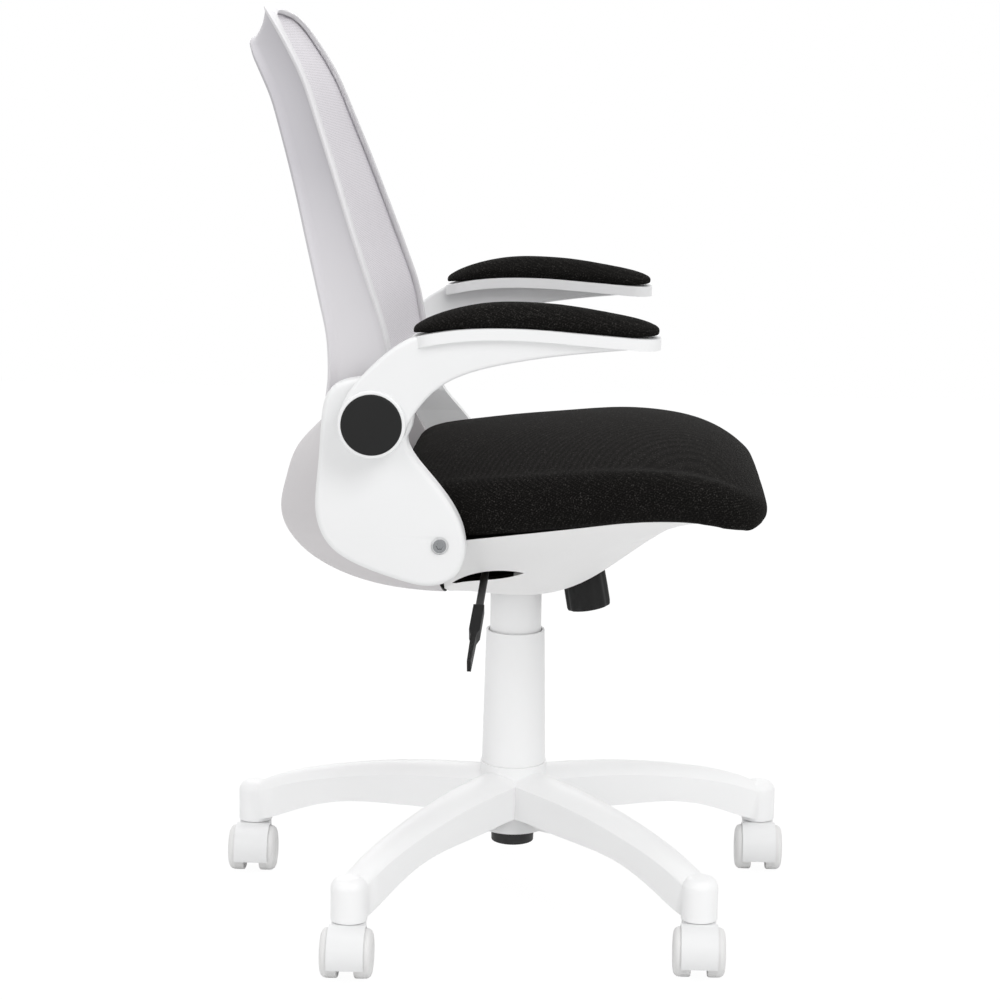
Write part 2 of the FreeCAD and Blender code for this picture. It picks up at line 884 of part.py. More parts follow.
def seat_frame(depth=0.0):
    """Placement of a plane that lies a given depth below the cushion's underside."""
    turn = FreeCAD.Rotation(vec(1, 0, 0), -n.seat_slope)
    return FreeCAD.Placement(vec(0, 0, n.seat_level), turn) * FreeCAD.Placement(
        vec(0, 0, -depth), FreeCAD.Rotation()
    )


def seat_depth_at(y, depth):
    """Height at y of the plane that lies a given depth below the cushion's underside."""
    slope = math.radians(n.seat_slope)
    return n.seat_level - y * math.tan(slope) - depth / math.cos(slope)


def screw_places():
    return [(x, y) for x in (-n.screw_across, n.screw_across) for y in (-n.screw_front, n.screw_rear)]


def make_seat_plate():
    """Steel plate under the seat board, with two ears on the tilt shaft."""
    top = n.board_thickness
    length = n.plate_front + n.plate_rear
    plate = Part.makeBox(
        2 * n.plate_half_width,
        length,
        n.plate_thickness,
        vec(-n.plate_half_width, -n.plate_front, -n.plate_thickness),
    )
    drill = Part.makeCylinder(n.screw_radius + n.running_fit, 3 * n.plate_thickness)
    holes = [drill.copy().translate(vec(x, y, -2 * n.plate_thickness)) for x, y in screw_places()]
    plate = plate.cut(holes)
    plate.Placement = seat_frame(top)
    ears = []
    ear_x = n.chassis_half_width + n.seat_gap
    ear_foot = n.pivot_height - n.pivot_radius - n.chassis_wall
    ear_top = seat_depth_at(n.pivot_y + n.pivot_lug, top + n.plate_thickness / 2)
    for x in (-ear_x - n.chassis_wall, ear_x):
        corner = vec(x, n.pivot_y - n.pivot_lug, ear_foot)
        ears.append(Part.makeBox(n.chassis_wall, 2 * n.pivot_lug, ear_top - ear_foot, corner))
    shaft_hole = Part.makeCylinder(
        n.pivot_radius + n.running_fit,
        4 * ear_x,
        vec(-2 * ear_x, n.pivot_y, n.pivot_height),
        vec(1, 0, 0),
    )
    free_form("seat_plate", plate.fuse(ears).cut(shaft_hole).removeSplitter())


def make_tilt_shaft():
    """Shaft on which the seat rocks, with a flat head at each end."""
    reach = s.chassis_half_width + s.seat_gap + s.chassis_wall + s.running_fit
    head = s.chassis_wall
    shaft = along_x("shaft_pin", s.pivot_radius, -reach, reach, s.pivot_y, s.pivot_height)
    wide = s.pivot_radius + s.chassis_wall
    right = along_x("shaft_head_right", wide, -reach - head, -reach, s.pivot_y, s.pivot_height)
    left = along_x("shaft_head_left", wide, reach, reach + head, s.pivot_y, s.pivot_height)
    finish(fuse("tilt_pivot_shaft", [shaft, right, left]), "tilt_pivot_shaft")


def knob_frame():
    lean = math.radians(n.knob_lean)
    return types.SimpleNamespace(
        base=vec(0, -n.knob_y, n.shell_floor - n.knob_drop),
        up=vec(0, math.sin(lean), math.cos(lean)),
    )


def on_knob_axis(item, along):
    """Stands an upright primitive on the leaning axis of the tension knob."""
    y = along * sine(s.knob_lean) - s.knob_y
    z = along * cosine(s.knob_lean) + s.shell_floor - s.knob_drop
    return place(item, 0, y, z, (1, 0, 0), -s.knob_lean)


def bolt_length():
    """From the knob's foot, along its axis, to the underside of the seat plate."""
    depth = (s.board_thickness + s.plate_thickness) / cosine(s.seat_slope)
    rise = s.seat_level - depth + s.knob_y * tangent(s.seat_slope) - (s.shell_floor - s.knob_drop)
    return rise / (cosine(s.knob_lean) + sine(s.knob_lean) * tangent(s.seat_slope))


def make_tension():
    """Knob, bolt and coil spring that set how hard the seat is to rock back."""
    fit = s.running_fit
    outer = on_knob_axis(cylinder("knob_outer", s.knob_radius, s.knob_length), 0)
    cup = cylinder("knob_cup", s.knob_radius - s.knob_wall, s.knob_length)
    bore = cylinder("knob_bore", s.bolt_radius + fit, s.knob_length)
    hollow = fuse(
        "knob_hollow",
        [on_knob_axis(cup, s.knob_floor), on_knob_axis(bore, s.knob_floor / 2)],
    )
    finish(cut("tension_knob", outer, hollow), "tension_knob")
    foot = s.knob_floor / 2 + s.seat_gap
    bolt = cylinder("tension_bolt", s.bolt_radius, bolt_length() - foot - s.seat_gap * 2)
    finish(on_knob_axis(bolt, foot), "tension_bolt")
    make_spring()


def biarc(start, start_run, end, end_run):
    """Two tangent arcs from one point and direction to another."""
    chord = end - start
    both = start_run + end_run
    spread = 2 * (1 - start_run.dot(end_run))
    reach = chord.dot(both)
    length = (-reach + math.sqrt(reach * reach + spread * chord.dot(chord))) / spread
    first = start + start_run * length
    last = end - end_run * length
    joint = (first + last) * 0.5
    return [half_biarc(start, first, joint), half_biarc(joint, last, end)]


def half_biarc(start, corner, end):
    """The arc that touches both runs of an equal-sided corner."""
    back = (start - corner).normalize()
    ahead = (end - corner).normalize()
    half = back.getAngle(ahead) / 2
    reach = (start - corner).Length
    radius = reach * math.tan(half)
    middle = corner + (back + ahead).normalize() * (radius / math.sin(half) - radius)
    return arc(start, middle, end)


def make_spring():
    """Coil between the knob's floor and the underside of the chassis."""
    wire = n.spring_wire
    knob = knob_frame()
    lean = math.tan(math.radians(n.knob_lean))
    low = n.knob_floor + wire / 2 + n.seat_gap
    ceiling = (n.chassis_bottom - knob.base.z) / knob.up.z
    high = ceiling - (n.spring_radius + wire / 2) * lean - wire / 2 - n.seat_gap
    quarter = 4
    steps = int(n.spring_turns) * quarter
    rise = (high - low) / steps
    points = []
    runs = []
    for step in range(steps + 1):
        angle = 2 * math.pi * step / quarter
        points.append(
            vec(n.spring_radius * math.cos(angle), n.spring_radius * math.sin(angle), low + rise * step)
        )
        turn_run = 2 * math.pi * n.spring_radius / quarter
        run = vec(-math.sin(angle) * turn_run, math.cos(angle) * turn_run, rise)
        runs.append(run.normalize())
    edges = []
    for step in range(steps):
        edges += biarc(points[step], runs[step], points[step + 1], runs[step + 1])
    path = Part.Wire(edges)
    section = Part.Wire([Part.Circle(points[0], runs[0], wire / 2).toShape()])
    coil = path.makePipeShell([section], True, False)
    coil.Placement = FreeCAD.Placement(knob.base, FreeCAD.Rotation(vec(1, 0, 0), -n.knob_lean))
    print("spring coil gap", round(rise * quarter - wire, 2), "mm")
    free_form("tension_spring", coil)


def make_lever():
    lever = lever_geometry()
    fit = n.running_fit
    trunnion = n.lever_bush_length / 2 + n.lever_lug + n.seat_gap
    barrel = Part.makeCylinder(
        n.lever_bush_radius,
        n.lever_bush_length,
        lever.bush - vec(0, n.lever_bush_length / 2, 0),
        vec(0, 1, 0),
    )
    pins = Part.makeCylinder(
        n.lever_trunnion_radius,
        2 * trunnion,
        lever.bush - vec(0, trunnion, 0),
        vec(0, 1, 0),
    )
    far = 3 * n.lever_bush_length
    bore = rod_along(
        lever.bush - lever.inward * far, lever.bush + lever.inward * far, n.lever_radius + fit
    )
    free_form("lever_pivot_bush", barrel.fuse(pins).cut(bore))
    rod_end = lever.tip - lever.outward * n.handle_blade
    rod = bent_rod(lever.inner_end, lever.bend, rod_end, n.lever_radius, n.lever_bend_radius)
    free_form("lift_lever", rod)
    make_handle(lever, rod_end)


def make_handle(lever, rod_end):
    """Moulded grip: a square sleeve on the rod that thins to a flat blade."""
    across = vec(0, 1, 0) - lever.outward * lever.outward.y
    across.normalize()
    flat = lever.outward.cross(across)
    sleeve_start = rod_end - lever.outward * n.handle_sleeve
    stations = (
        # place, thickness across, depth
        (sleeve_start, n.handle_width, n.handle_width),
        (sleeve_start + lever.outward * (0.9 * n.handle_sleeve), n.handle_width, n.handle_depth),
        (rod_end + lever.outward * n.lever_radius, n.handle_width * 0.5, n.handle_depth),
        (lever.tip, n.handle_width * 0.36, n.handle_depth),
    )
    wires = []
    for centre, thick, deep in stations:
        corners = [
            centre + across * (thick / 2 * i) + flat * (deep / 2 * j)
            for i, j in ((-1, -1), (1, -1), (1, 1), (-1, 1))
        ]
        wires.append(polygon(corners))
    grip = Part.makeLoft(wires, True, True)
    bore = rod_along(
        sleeve_start - lever.outward * n.handle_width,
        rod_end + lever.outward * n.seat_gap,
        n.lever_radius + n.running_fit,
    )
    free_form("lever_handle", grip.cut(bore))


# Seat


def board_solid(growth=0.0):
    """The flat seat board, or the same solid grown all round for its pocket."""
    half = n.board_half_width + growth
    front = -n.board_front - growth
    rear = n.board_rear + growth
    points = [vec(-half, front, 0), vec(half, front, 0), vec(half, rear, 0), vec(-half, rear, 0)]
    face = Part.Face(rounded_wire(points, n.board_corner))
    solid = face.extrude(vec(0, 0, n.board_thickness + 2 * growth))
    solid.Placement = seat_frame(n.board_thickness + growth)
    return solid


def bracket_bolt_height():
    return seat_depth_at(n.bracket_bolt_y, n.board_thickness / 2)


def bracket_bolt_bore(radius):
    start = vec(-2 * n.bracket_outer, n.bracket_bolt_y, bracket_bolt_height())
    end = vec(-n.board_half_width + n.bracket_bolt_depth + n.seat_gap, start.y, start.z)
    bore = rod_along(start, end, radius)
    return [bore, mirrored(bore)]


def make_board():
    holes = []
    for x, y in screw_places():
        hole = Part.makeCylinder(n.screw_radius + n.running_fit, n.screw_grip + n.seat_gap, vec(x, y, 0))
        hole.Placement = seat_frame(n.board_thickness).multiply(hole.Placement)
        holes.append(hole)
    holes += bracket_bolt_bore(n.bracket_bolt_radius + n.running_fit)
    free_form("seat_board", board_solid().cut(holes))


def make_screws():
    """Four screws that hold the steel plate to the seat board."""
    screws = []
    for x, y in screw_places():
        foot = -n.plate_thickness - n.screw_head_height
        head = Part.makeCylinder(n.screw_head_radius, n.screw_head_height, vec(x, y, foot))
        shank = Part.makeCylinder(
            n.screw_radius,
            n.plate_thickness + n.screw_grip,
            vec(x, y, -n.plate_thickness),
        )
        screw = head.fuse(shank).removeSplitter()
        screw.Placement = seat_frame(n.board_thickness)
        screws.append(screw)
    free_form("mounting_screws", Part.makeCompound(screws))


def cushion_section(y, half_width, floor, crown_top, crown):
    """Flat underside, drawn-in sides that swell half way up, and a crowned top."""
    low = half_width - 0.3 * crown
    shoulder = half_width - 1.6 * crown
    rim = crown_top - crown
    swell = floor + 0.5 * (rim - floor)
    low_right = vec(-low, y, floor)
    high_right = vec(-shoulder, y, rim)
    high_left = vec(shoulder, y, rim)
    low_left = vec(low, y, floor)
    edges = [
        line(low_left, low_right),
        arc(low_right, vec(-half_width, y, swell), high_right),
        arc(high_right, vec(0, y, crown_top), high_left),
        arc(high_left, vec(half_width, y, swell), low_left),
    ]
    return Part.Wire(edges)


def make_cushion():
    stations = (
        # share from the front to the rear edge, share of the half width, drop of the underside
        # below the board's plane, share of the height, share of the crown
        (0.000, 0.62, 27.0, 0.26, 0.25),
        (0.030, 0.80, 27.0, 0.55, 0.50),
        (0.085, 0.900, 24.5, 0.79, 0.80),
        (0.165, 0.960, 13.5, 0.88, 0.95),
        (0.275, 0.990, 4.0, 0.93, 1.00),
        (0.400, 1.000, 0.0, 0.98, 1.00),
        (0.550, 0.992, 0.0, 1.02, 1.00),
        (0.700, 0.975, 0.0, 1.05, 1.00),
        (0.850, 0.940, 0.0, 1.06, 1.00),
        (0.950, 0.890, 0.0, 1.03, 0.90),
        (1.000, 0.790, -8.0, 0.75, 0.60),
    )
    wires = []
    length = n.cushion_front + n.cushion_rear
    for along, width, drop, height, crown in stations:
        y = -n.cushion_front + along * length
        floor = seat_depth_at(y, n.cushion_skirt) - drop + n.seat_gap
        top = floor + n.cushion_height * height
        wires.append(cushion_section(y, n.cushion_half_width * width, floor, top, n.cushion_crown * crown))
    holes = bracket_bolt_bore(n.bracket_bolt_radius + 2 * n.seat_gap)
    free_form("seat_cushion", loft(wires).cut([board_solid(n.seat_gap)] + holes))


def shell_section(y, rim_half, rim_height, ridge_half, ridge_height, floor_half, floor_height):
    points = [
        vec(-rim_half, y, rim_height),
        vec(-ridge_half, y, ridge_height),
        vec(-floor_half, y, floor_height),
        vec(floor_half, y, floor_height),
        vec(ridge_half, y, ridge_height),
        vec(rim_half, y, rim_height),
    ]
    return polygon(points)


def shell_wires(inset):
    """Hull sections from the rear opening to the front edge, drawn in for the hollow side."""
    stations = (
        # share from rear to front, rim half width share, drop of the rim below the board's plane,
        # ridge half width share, ridge height share, floor half width share, floor height share
        (0.00, 1.000, 0.0, 0.62, 0.26, 0.26, 0.02),
        (0.20, 1.000, 0.0, 0.61, 0.41, 0.26, 0.00),
        (0.40, 1.000, 0.0, 0.61, 0.48, 0.25, 0.01),
        (0.58, 0.995, 0.0, 0.63, 0.58, 0.25, 0.17),
        (0.76, 0.980, 1.0, 0.68, 0.72, 0.28, 0.46),
        (0.90, 0.940, 6.0, 0.75, 0.87, 0.36, 0.71),
        (1.00, 0.860, 12.0, 0.78, 0.95, 0.50, 0.88),
    )
    length = n.shell_rear + n.shell_front
    wires = []
    for along, rim, drop, ridge, ridge_up, flat, floor_up in stations:
        y = n.shell_rear - along * length
        if inset and along == 0.0:
            y += inset
        if inset and along == 1.0:
            y += 2 * inset
        rim_height = seat_depth_at(y, n.cushion_skirt) - drop - n.seat_gap
        rise = rim_height - n.shell_floor
        ledge = n.shell_half_width - n.board_half_width + 4 * inset if inset else 0.0
        wires.append(
            shell_section(
                y,
                rim * n.shell_half_width - ledge,
                rim_height + (inset if inset else 0.0),
                ridge * n.shell_half_width - 1.6 * inset,
                n.shell_floor + rise * ridge_up + 1.2 * inset,
                flat * n.shell_half_width - 0.5 * inset,
                n.shell_floor + rise * floor_up + inset,
            )
        )
    return wires


def make_shell():
    """White cover under the seat, with openings for the column, the knob and the lever."""
    hull = loft(shell_wires(0)).cut(loft(shell_wires(n.shell_wall)))
    column_room = 1.15 * n.cover_mouth_radius
    column_hole = Part.makeCylinder(column_room, n.shell_floor, vec(0, 0, n.shell_floor / 2))
    slot_hole = column_hole.copy().translate(vec(0, n.shell_rear_room, 0))
    between = Part.makeBox(
        2 * column_room, n.shell_rear_room, n.shell_floor, vec(-column_room, 0, n.shell_floor / 2)
    )
    knob = knob_frame()
    knob_room = n.knob_radius + 5 * n.seat_gap
    knob_start = knob.base - knob.up * n.knob_length
    knob_hole = Part.makeCylinder(knob_room, 3 * n.knob_length, knob_start, knob.up)
    lever_hole = lever_opening()
    holes = [column_hole, slot_hole, between, knob_hole, lever_hole, board_solid(n.seat_gap)]
    holes += bracket_bolt_bore(n.bracket_bolt_radius + 2 * n.seat_gap)
    free_form("seat_shell", hull.cut(holes))


def lever_opening():
    """Leaf-shaped opening in the shell's right side that the lever passes through."""
    centre = vec(-n.lever_slot_x, n.lever_slot_y, n.lever_slot_height)
    front = centre + vec(0, -n.lever_leaf_front, 1)
    rear = centre + vec(0, n.lever_leaf_rear, 1)
    upper = centre + vec(0, -2, n.lever_leaf_rise)
    lower = centre + vec(0, -6, -n.lever_leaf_drop)
    leaf = Part.Face(Part.Wire([arc(front, upper, rear), arc(rear, lower, front)]))
    depth = vec(-60, 0, -26)
    return leaf.translate(depth * -0.5).extrude(depth)


# Back


def blend_points(side, middle, share):
    return [(a + (c - a) * share, b + (d - b) * share) for (a, b), (c, d) in zip(side, middle)]


def carrier_outline(share, inset):
    """Rear and under side of the lower back, from its top edge round to under the seat.

    The share is 0 at the brackets and 1 in the middle of the chair.
    """
    front = n.shell_rear + n.seat_gap
    top = n.frame_foot - n.seat_gap
    floor = n.shell_floor + 2
    side = [
        (160, top), (180, top - 4), (186, top - 30), (188.5, top - 60), (189, top - 85),
        (187, top - 104), (175, top - 124), (146, top - 142), (108, top - 156), (front, top - 163),
    ]
    middle = [
        (163, top), (188, top - 8), (212, top - 38), (235, top - 63), (246, top - 93),
        (251, top - 130), (236, top - 158), (200, top - 185), (146, floor + 6), (front, floor),
    ]
    points = blend_points(side, middle, share)
    if not inset:
        return points
    centre_y = sum(y for y, z in points) / len(points)
    centre_z = sum(z for y, z in points) / len(points)
    inner = []
    for y, z in points:
        away = math.hypot(y - centre_y, z - centre_z)
        inner.append((y - (y - centre_y) * inset / away, z - (z - centre_z) * inset / away))
    inner[0] = (inner[0][0] - 2 * inset, n.frame_foot + inset)
    inner[-1] = (front - 2 * inset, inner[-1][1])
    return inner


def carrier_wire(x, share, inset):
    points = [vec(x, y, z) for y, z in carrier_outline(share, inset)]
    return Part.Wire([spline(points), line(points[-1], points[0])])


def make_carrier():
    """Bowed lower back between the brackets, open towards the seat."""
    half = n.carrier_half_width
    shares = ((-1.0, 0.0), (-0.6, 0.64), (0.0, 1.0), (0.6, 0.64), (1.0, 0.0))
    outer = loft([carrier_wire(half * across, share, 0) for across, share in shares])
    room = half - n.carrier_wall
    inner = loft([carrier_wire(room * across, share, n.carrier_wall) for across, share in shares])
    free_form("back_carrier", outer.cut(inner))


def rim_stations():
    """Front outer edge of the back frame on the sitter's left: half width, y, height."""
    top = n.frame_top
    foot = n.frame_foot
    return (
        (221.0, 112.0, foot),
        (225.0, 115.0, foot + 42),
        (227.0, 124.0, foot + 88),
        (223.0, 140.0, top - 265),
        (211.0, 158.0, top - 215),
        (193.0, 175.5, top - 166),
        (173.0, 193.5, top - 118),
        (156.0, 210.0, top - 76),
        (141.0, 227.0, top - 45),
        (120.0, 244.0, top - 20),
        (88.0, 257.0, top - 6),
        (44.0, 263.0, top - 1.5),
        (0.0, 265.0, top),
    )


def frame_depth(height):
    """Depth of the frame's side from its front edge to its rear edge."""
    share = (height - n.frame_foot) / (n.frame_top - n.frame_foot)
    return 72.0 - 68.0 * share + 34.0 * share * share


def recline(height):
    """Angle by which the back leans away from upright."""
    share = (height - n.frame_foot) / (n.frame_top - n.frame_foot)
    return math.radians(7.0 + 22.0 * share + 26.0 * share**12)


def rim_curve():
    stations = rim_stations()
    left = [vec(half, y, z) for half, y, z in stations]
    right = [vec(-half, y, z) for half, y, z in reversed(stations[:-1])]
    curve = Part.BSplineCurve()
    curve.interpolate(left + right)
    return curve, left + right


def frame_axes(curve, point):
    """Rearward and outward directions of the frame's section at a point of its rim."""
    run = curve.tangent(curve.parameter(point))[0]
    lean = recline(point.z)
    rear = vec(0, math.cos(lean), -math.sin(lean))
    rear = (rear - run * rear.dot(run)).normalize()
    outward = rear.cross(run).normalize()
    centre = vec(0, point.y, point.z - 200)
    if outward.dot(point - centre) < 0:
        outward = outward * -1
    return rear, outward


def frame_section(curve, point):
    """L-shaped section: a flange that faces forward and a wall that runs back from it."""
    rear, outward = frame_axes(curve, point)
    depth = frame_depth(point.z)
    inset = 0.22 * depth
    wall = n.frame_wall
    flange = n.frame_flange
    flange_depth = n.frame_flange_depth
    outline = [
        (0, 0), (depth, -inset), (depth, -inset - wall), (flange_depth, -wall - 3),
        (flange_depth, -flange), (0, -flange),
    ]
    corners = [point + rear * back + outward * out for back, out in outline]
    return rounded_wire(corners, 1.6)


def make_frame():
    curve, points = rim_curve()
    hoop = loft([frame_section(curve, point) for point in points])
    rail = bottom_rail()
    hole = arm_bolt_bore(n.arm_bolt_radius + n.running_fit)
    free_form("back_frame", hoop.fuse(rail).cut([hole, mirrored(hole)]).removeSplitter())


def rail_arc(x, y, height, bow):
    return arc(vec(-x, y, height), vec(0, y + bow, height), vec(x, y, height))


def bottom_rail():
    """Bowed bar that joins the two feet of the back frame under the mesh."""
    half, y, height = rim_stations()[0]
    thick = n.frame_flange
    tall = 2 * n.frame_flange
    reach = half - n.frame_wall
    front = rail_arc(reach, y + n.frame_flange_depth - 2, height, n.mesh_bow)
    back = rail_arc(reach, y + n.frame_flange_depth - 2 + thick, height, n.mesh_bow)
    ends = [
        line(front.Vertexes[0].Point, back.Vertexes[0].Point),
        line(front.Vertexes[-1].Point, back.Vertexes[-1].Point),
    ]
    face = Part.Face(Part.Wire(Part.__sortEdges__([front, back] + ends)))
    return face.extrude(vec(0, 0, tall))


def mesh_section(half, y, height, bow):
    """Thin bowed strip across the back at one height."""
    thick = n.mesh_thickness
    front = [vec(-half, y, height), vec(0, y + bow, height), vec(half, y, height)]
    back = [point + vec(0, thick, 0) for point in front]
    edges = [
        arc(*front),
        line(front[2], back[2]),
        arc(back[2], back[1], back[0]),
        line(back[0], front[0]),
    ]
    return Part.Wire(edges)


def mesh_edge(curve, point):
    """Where the panel's edge lies behind the flange, next to a point of the frame's rim."""
    rear, outward = frame_axes(curve, point)
    behind = n.frame_flange_depth + n.mesh_gap
    edge = n.frame_flange - n.mesh_overlap
    return point + rear * behind - outward * edge


def make_mesh():
    """Woven panel held behind the flange of the back frame."""
    curve, points = rim_curve()
    middle = len(points) // 2
    edges = [mesh_edge(curve, point) for point in points[1:middle]]
    rail_top = n.frame_foot + 2 * n.frame_flange + n.mesh_gap
    below, above = edges[0], edges[1]
    share = (rail_top - below.z) / (above.z - below.z)
    edges[0] = below + (above - below) * share - vec(n.mesh_overlap, 0, 0)
    widest = max(edge.x for edge in edges)
    wires = []
    for edge in edges:
        bow = n.mesh_bow * (edge.x / widest) ** 2
        wires.append(mesh_section(edge.x, edge.y, edge.z, bow))
    free_form("back_mesh", loft(wires))


# Side brackets


def bracket_outline():
    """Side view of a bracket: a head round the arm's pivot and a lobe round the seat's bolt."""
    head_front = [(-33, -14), (-37, 8), (-24, 32), (12, 40), (44, 28), (52, 0), (54, -31)]
    lobe = [
        (122, 54), (122, 29), (109, -2), (79, -22), (39, -36), (9, -41),
        (-14, -32), (-24, -11), (-20, 21), (-4, 49), (15, 72),
    ]
    neck = [(-36, -32)]
    pivot = (n.arm_pivot_y, n.arm_pivot_height)
    bolt = (n.bracket_bolt_y, bracket_bolt_height())
    points = [(pivot[0] + y, pivot[1] + z) for y, z in head_front]
    points += [(bolt[0] + y, bolt[1] + z) for y, z in lobe]
    points += [(pivot[0] + y, pivot[1] + z) for y, z in neck]
    return points


def bracket_slab():
    """Space between the bracket's inner and outer faces, which flare out towards the seat."""
    top = n.arm_pivot_height + 2.5 * n.arm_hub_radius
    knee = n.arm_pivot_height - 1.2 * n.arm_hub_radius
    bolt = bracket_bolt_height()
    low = bolt - 1.8 * n.arm_hub_radius
    flare = n.bracket_flare
    outer = [
        vec(-n.bracket_outer, 0, top), vec(-n.bracket_outer, 0, knee + 40),
        vec(-n.bracket_outer - 0.1 * flare, 0, knee), vec(-n.bracket_outer - 0.8 * flare, 0, bolt + 30),
        vec(-n.bracket_outer - flare, 0, bolt - 15), vec(-n.bracket_outer - 0.8 * flare, 0, low),
    ]
    inner = [
        vec(-n.bracket_inner, 0, top), vec(-n.bracket_inner, 0, knee + 20),
        vec(-n.bracket_inner - 0.6 * flare, 0, knee - 20), vec(-n.bracket_inner - 0.6 * flare, 0, low),
    ]
    edges = [
        spline(outer),
        line(outer[-1], inner[-1]),
        line(inner[-1], inner[-2]),
        line(inner[-2], inner[-3]),
        line(inner[-3], inner[-4]),
        line(inner[0], outer[0]),
    ]
    face = Part.Face(Part.Wire(edges))
    reach = 2 * n.bracket_outer
    return face.translate(vec(0, -reach / 2, 0)).extrude(vec(0, reach, 0))


def arm_bolt_bore(radius):
    reach = n.bracket_outer + n.arm_hub_width
    start = vec(-2 * reach, n.arm_pivot_y, n.arm_pivot_height)
    depth = 2 * reach - n.bracket_inner + 2 * n.arm_bolt_grip
    return Part.makeCylinder(radius, depth, start, vec(1, 0, 0))


def bracket_solid():
    outline = closed_spline([vec(-2 * n.bracket_outer, y, z) for y, z in bracket_outline()])
    prism = Part.Face(outline).extrude(vec(2 * n.bracket_outer, 0, 0))
    solid = prism.common(bracket_slab())
    outer_edges = [edge for edge in solid.Edges if edge.BoundBox.XMax < -n.bracket_outer + 1]
    solid = solid.makeFillet(n.bracket_edge, outer_edges)
    recess = Part.makeCylinder(
        n.bracket_bolt_head + n.bracket_bolt_room,
        n.bracket_outer,
        vec(bracket_bolt_seat(), n.bracket_bolt_y, bracket_bolt_height()),
        vec(-1, 0, 0),
    )
    holes = [recess, arm_bolt_bore(n.arm_bolt_radius + n.running_fit)]
    holes.append(bracket_bolt_bore(n.bracket_bolt_radius + n.running_fit)[0])
    return solid.cut(holes)


def bracket_bolt_seat():
    """Where the bolt's head sits inside the bracket's recess."""
    return -(n.bracket_outer + n.bracket_flare) + n.bracket_bolt_seat


def bracket_bolt_solid():
    """Socket-head bolt from the bracket into the seat board's edge."""
    height = bracket_bolt_height()
    seat = bracket_bolt_seat()
    end = -n.board_half_width + n.bracket_bolt_depth
    start = vec(seat, n.bracket_bolt_y, height)
    shank = rod_along(start, vec(end, n.bracket_bolt_y, height), n.bracket_bolt_radius)
    head_face = seat - n.bracket_bolt_radius
    head = Part.makeCylinder(
        n.bracket_bolt_head, n.bracket_bolt_radius, vec(head_face, n.bracket_bolt_y, height), vec(1, 0, 0)
    )
    key = [
        vec(
            head_face,
            n.bracket_bolt_y + 0.55 * n.bracket_bolt_head * math.cos(math.radians(angle)),
            height + 0.55 * n.bracket_bolt_head * math.sin(math.radians(angle)),
        )
        for angle in range(0, 360, 60)
    ]
    socket = Part.Face(polygon(key)).extrude(vec(0.7 * n.bracket_bolt_radius, 0, 0))
    return shank.fuse(head).cut(socket).removeSplitter()


def make_bracket_bolts():
    bolt = bracket_bolt_solid()
    free_form("bracket_bolts", Part.makeCompound([bolt, mirrored(bolt)]))


# Armrests


def arm_top_curve(drop):
    """Arched line under the arm pad, lowered by a drop, from front to rear."""
    top = n.arm_top - drop
    length = n.arm_front + n.arm_rear
    rises = ((0.0, -8.5), (0.13, -7.0), (0.4, -2.0), (0.645, 0.0), (0.8, -2.0), (0.93, -7.0), (1.0, -11.5))
    return [(-n.arm_front + share * length, top + rise) for share, rise in rises]


def arm_hub_face():
    return -(n.bracket_outer + n.arm_gap + n.arm_hub_width)


def arm_plate_solid():
    upper = [vec(0, y, z) for y, z in arm_top_curve(0)]
    lower = [vec(0, y, z) for y, z in arm_top_curve(n.arm_plate)]
    edges = [spline(upper), line(upper[-1], lower[-1]), spline(lower), line(lower[0], upper[0])]
    profile = Part.Face(Part.Wire(edges))
    half = n.pad_half_width
    prism = profile.translate(vec(-n.pad_centre - half, 0, 0)).extrude(vec(2 * half, 0, 0))
    corners = [
        vec(-n.pad_centre - half, -n.arm_front, 0), vec(-n.pad_centre + half, -n.arm_front, 0),
        vec(-n.pad_centre + half, n.arm_rear, 0), vec(-n.pad_centre - half, n.arm_rear, 0),
    ]
    plan = Part.Face(rounded_wire(corners, 0.8 * half)).extrude(vec(0, 0, 2 * n.arm_top))
    return prism.common(plan)


def arm_web_solid():
    """Curved arm from the hub up and forward under the plate."""
    pivot = (n.arm_pivot_y, n.arm_pivot_height)
    under = n.arm_top - n.arm_plate
    inner = [
        (pivot[0] - 32, pivot[1] - 6), (pivot[0] - 47, pivot[1] + 19), (pivot[0] - 68, pivot[1] + 39),
        (pivot[0] - 93, pivot[1] + 51), (0, under - 23), (-48, under - 15), (-98, under - 9.5),
        (-n.arm_front + 9, under - 6),
    ]
    outer = [
        (n.arm_rear - 7, under + 1.5), (n.arm_rear + 18, under - 12), (pivot[0] + 4, pivot[1] + 52),
        (pivot[0] + 22, pivot[1] + 31), (pivot[0] + 32, pivot[1] + 7),
    ]
    front_height = arm_top_curve(n.arm_edge)[0][1]
    seam = [vec(0, -n.arm_front + 9, front_height)]
    seam += [vec(0, y, z) for y, z in arm_top_curve(n.arm_edge)[1:-2]]
    seam.append(vec(0, n.arm_rear - 25, under - 1.5))
    first = [vec(0, y, z) for y, z in inner]
    last = [vec(0, y, z) for y, z in outer]
    edges = [
        spline(first),
        line(first[-1], seam[0]),
        spline(seam),
        line(seam[-1], last[0]),
        spline(last),
        line(last[-1], first[0]),
    ]
    face = Part.Face(Part.Wire(edges))
    start = arm_hub_face() + n.arm_edge
    solid = face.translate(vec(start, 0, 0)).extrude(vec(n.arm_web_width, 0, 0))
    visible = [
        edge
        for edge in solid.Edges
        if edge.BoundBox.XLength < 0.01 and edge.Length > 80 and edge.BoundBox.ZMin < under - 10
    ]
    return solid.makeFillet(n.arm_edge, visible)


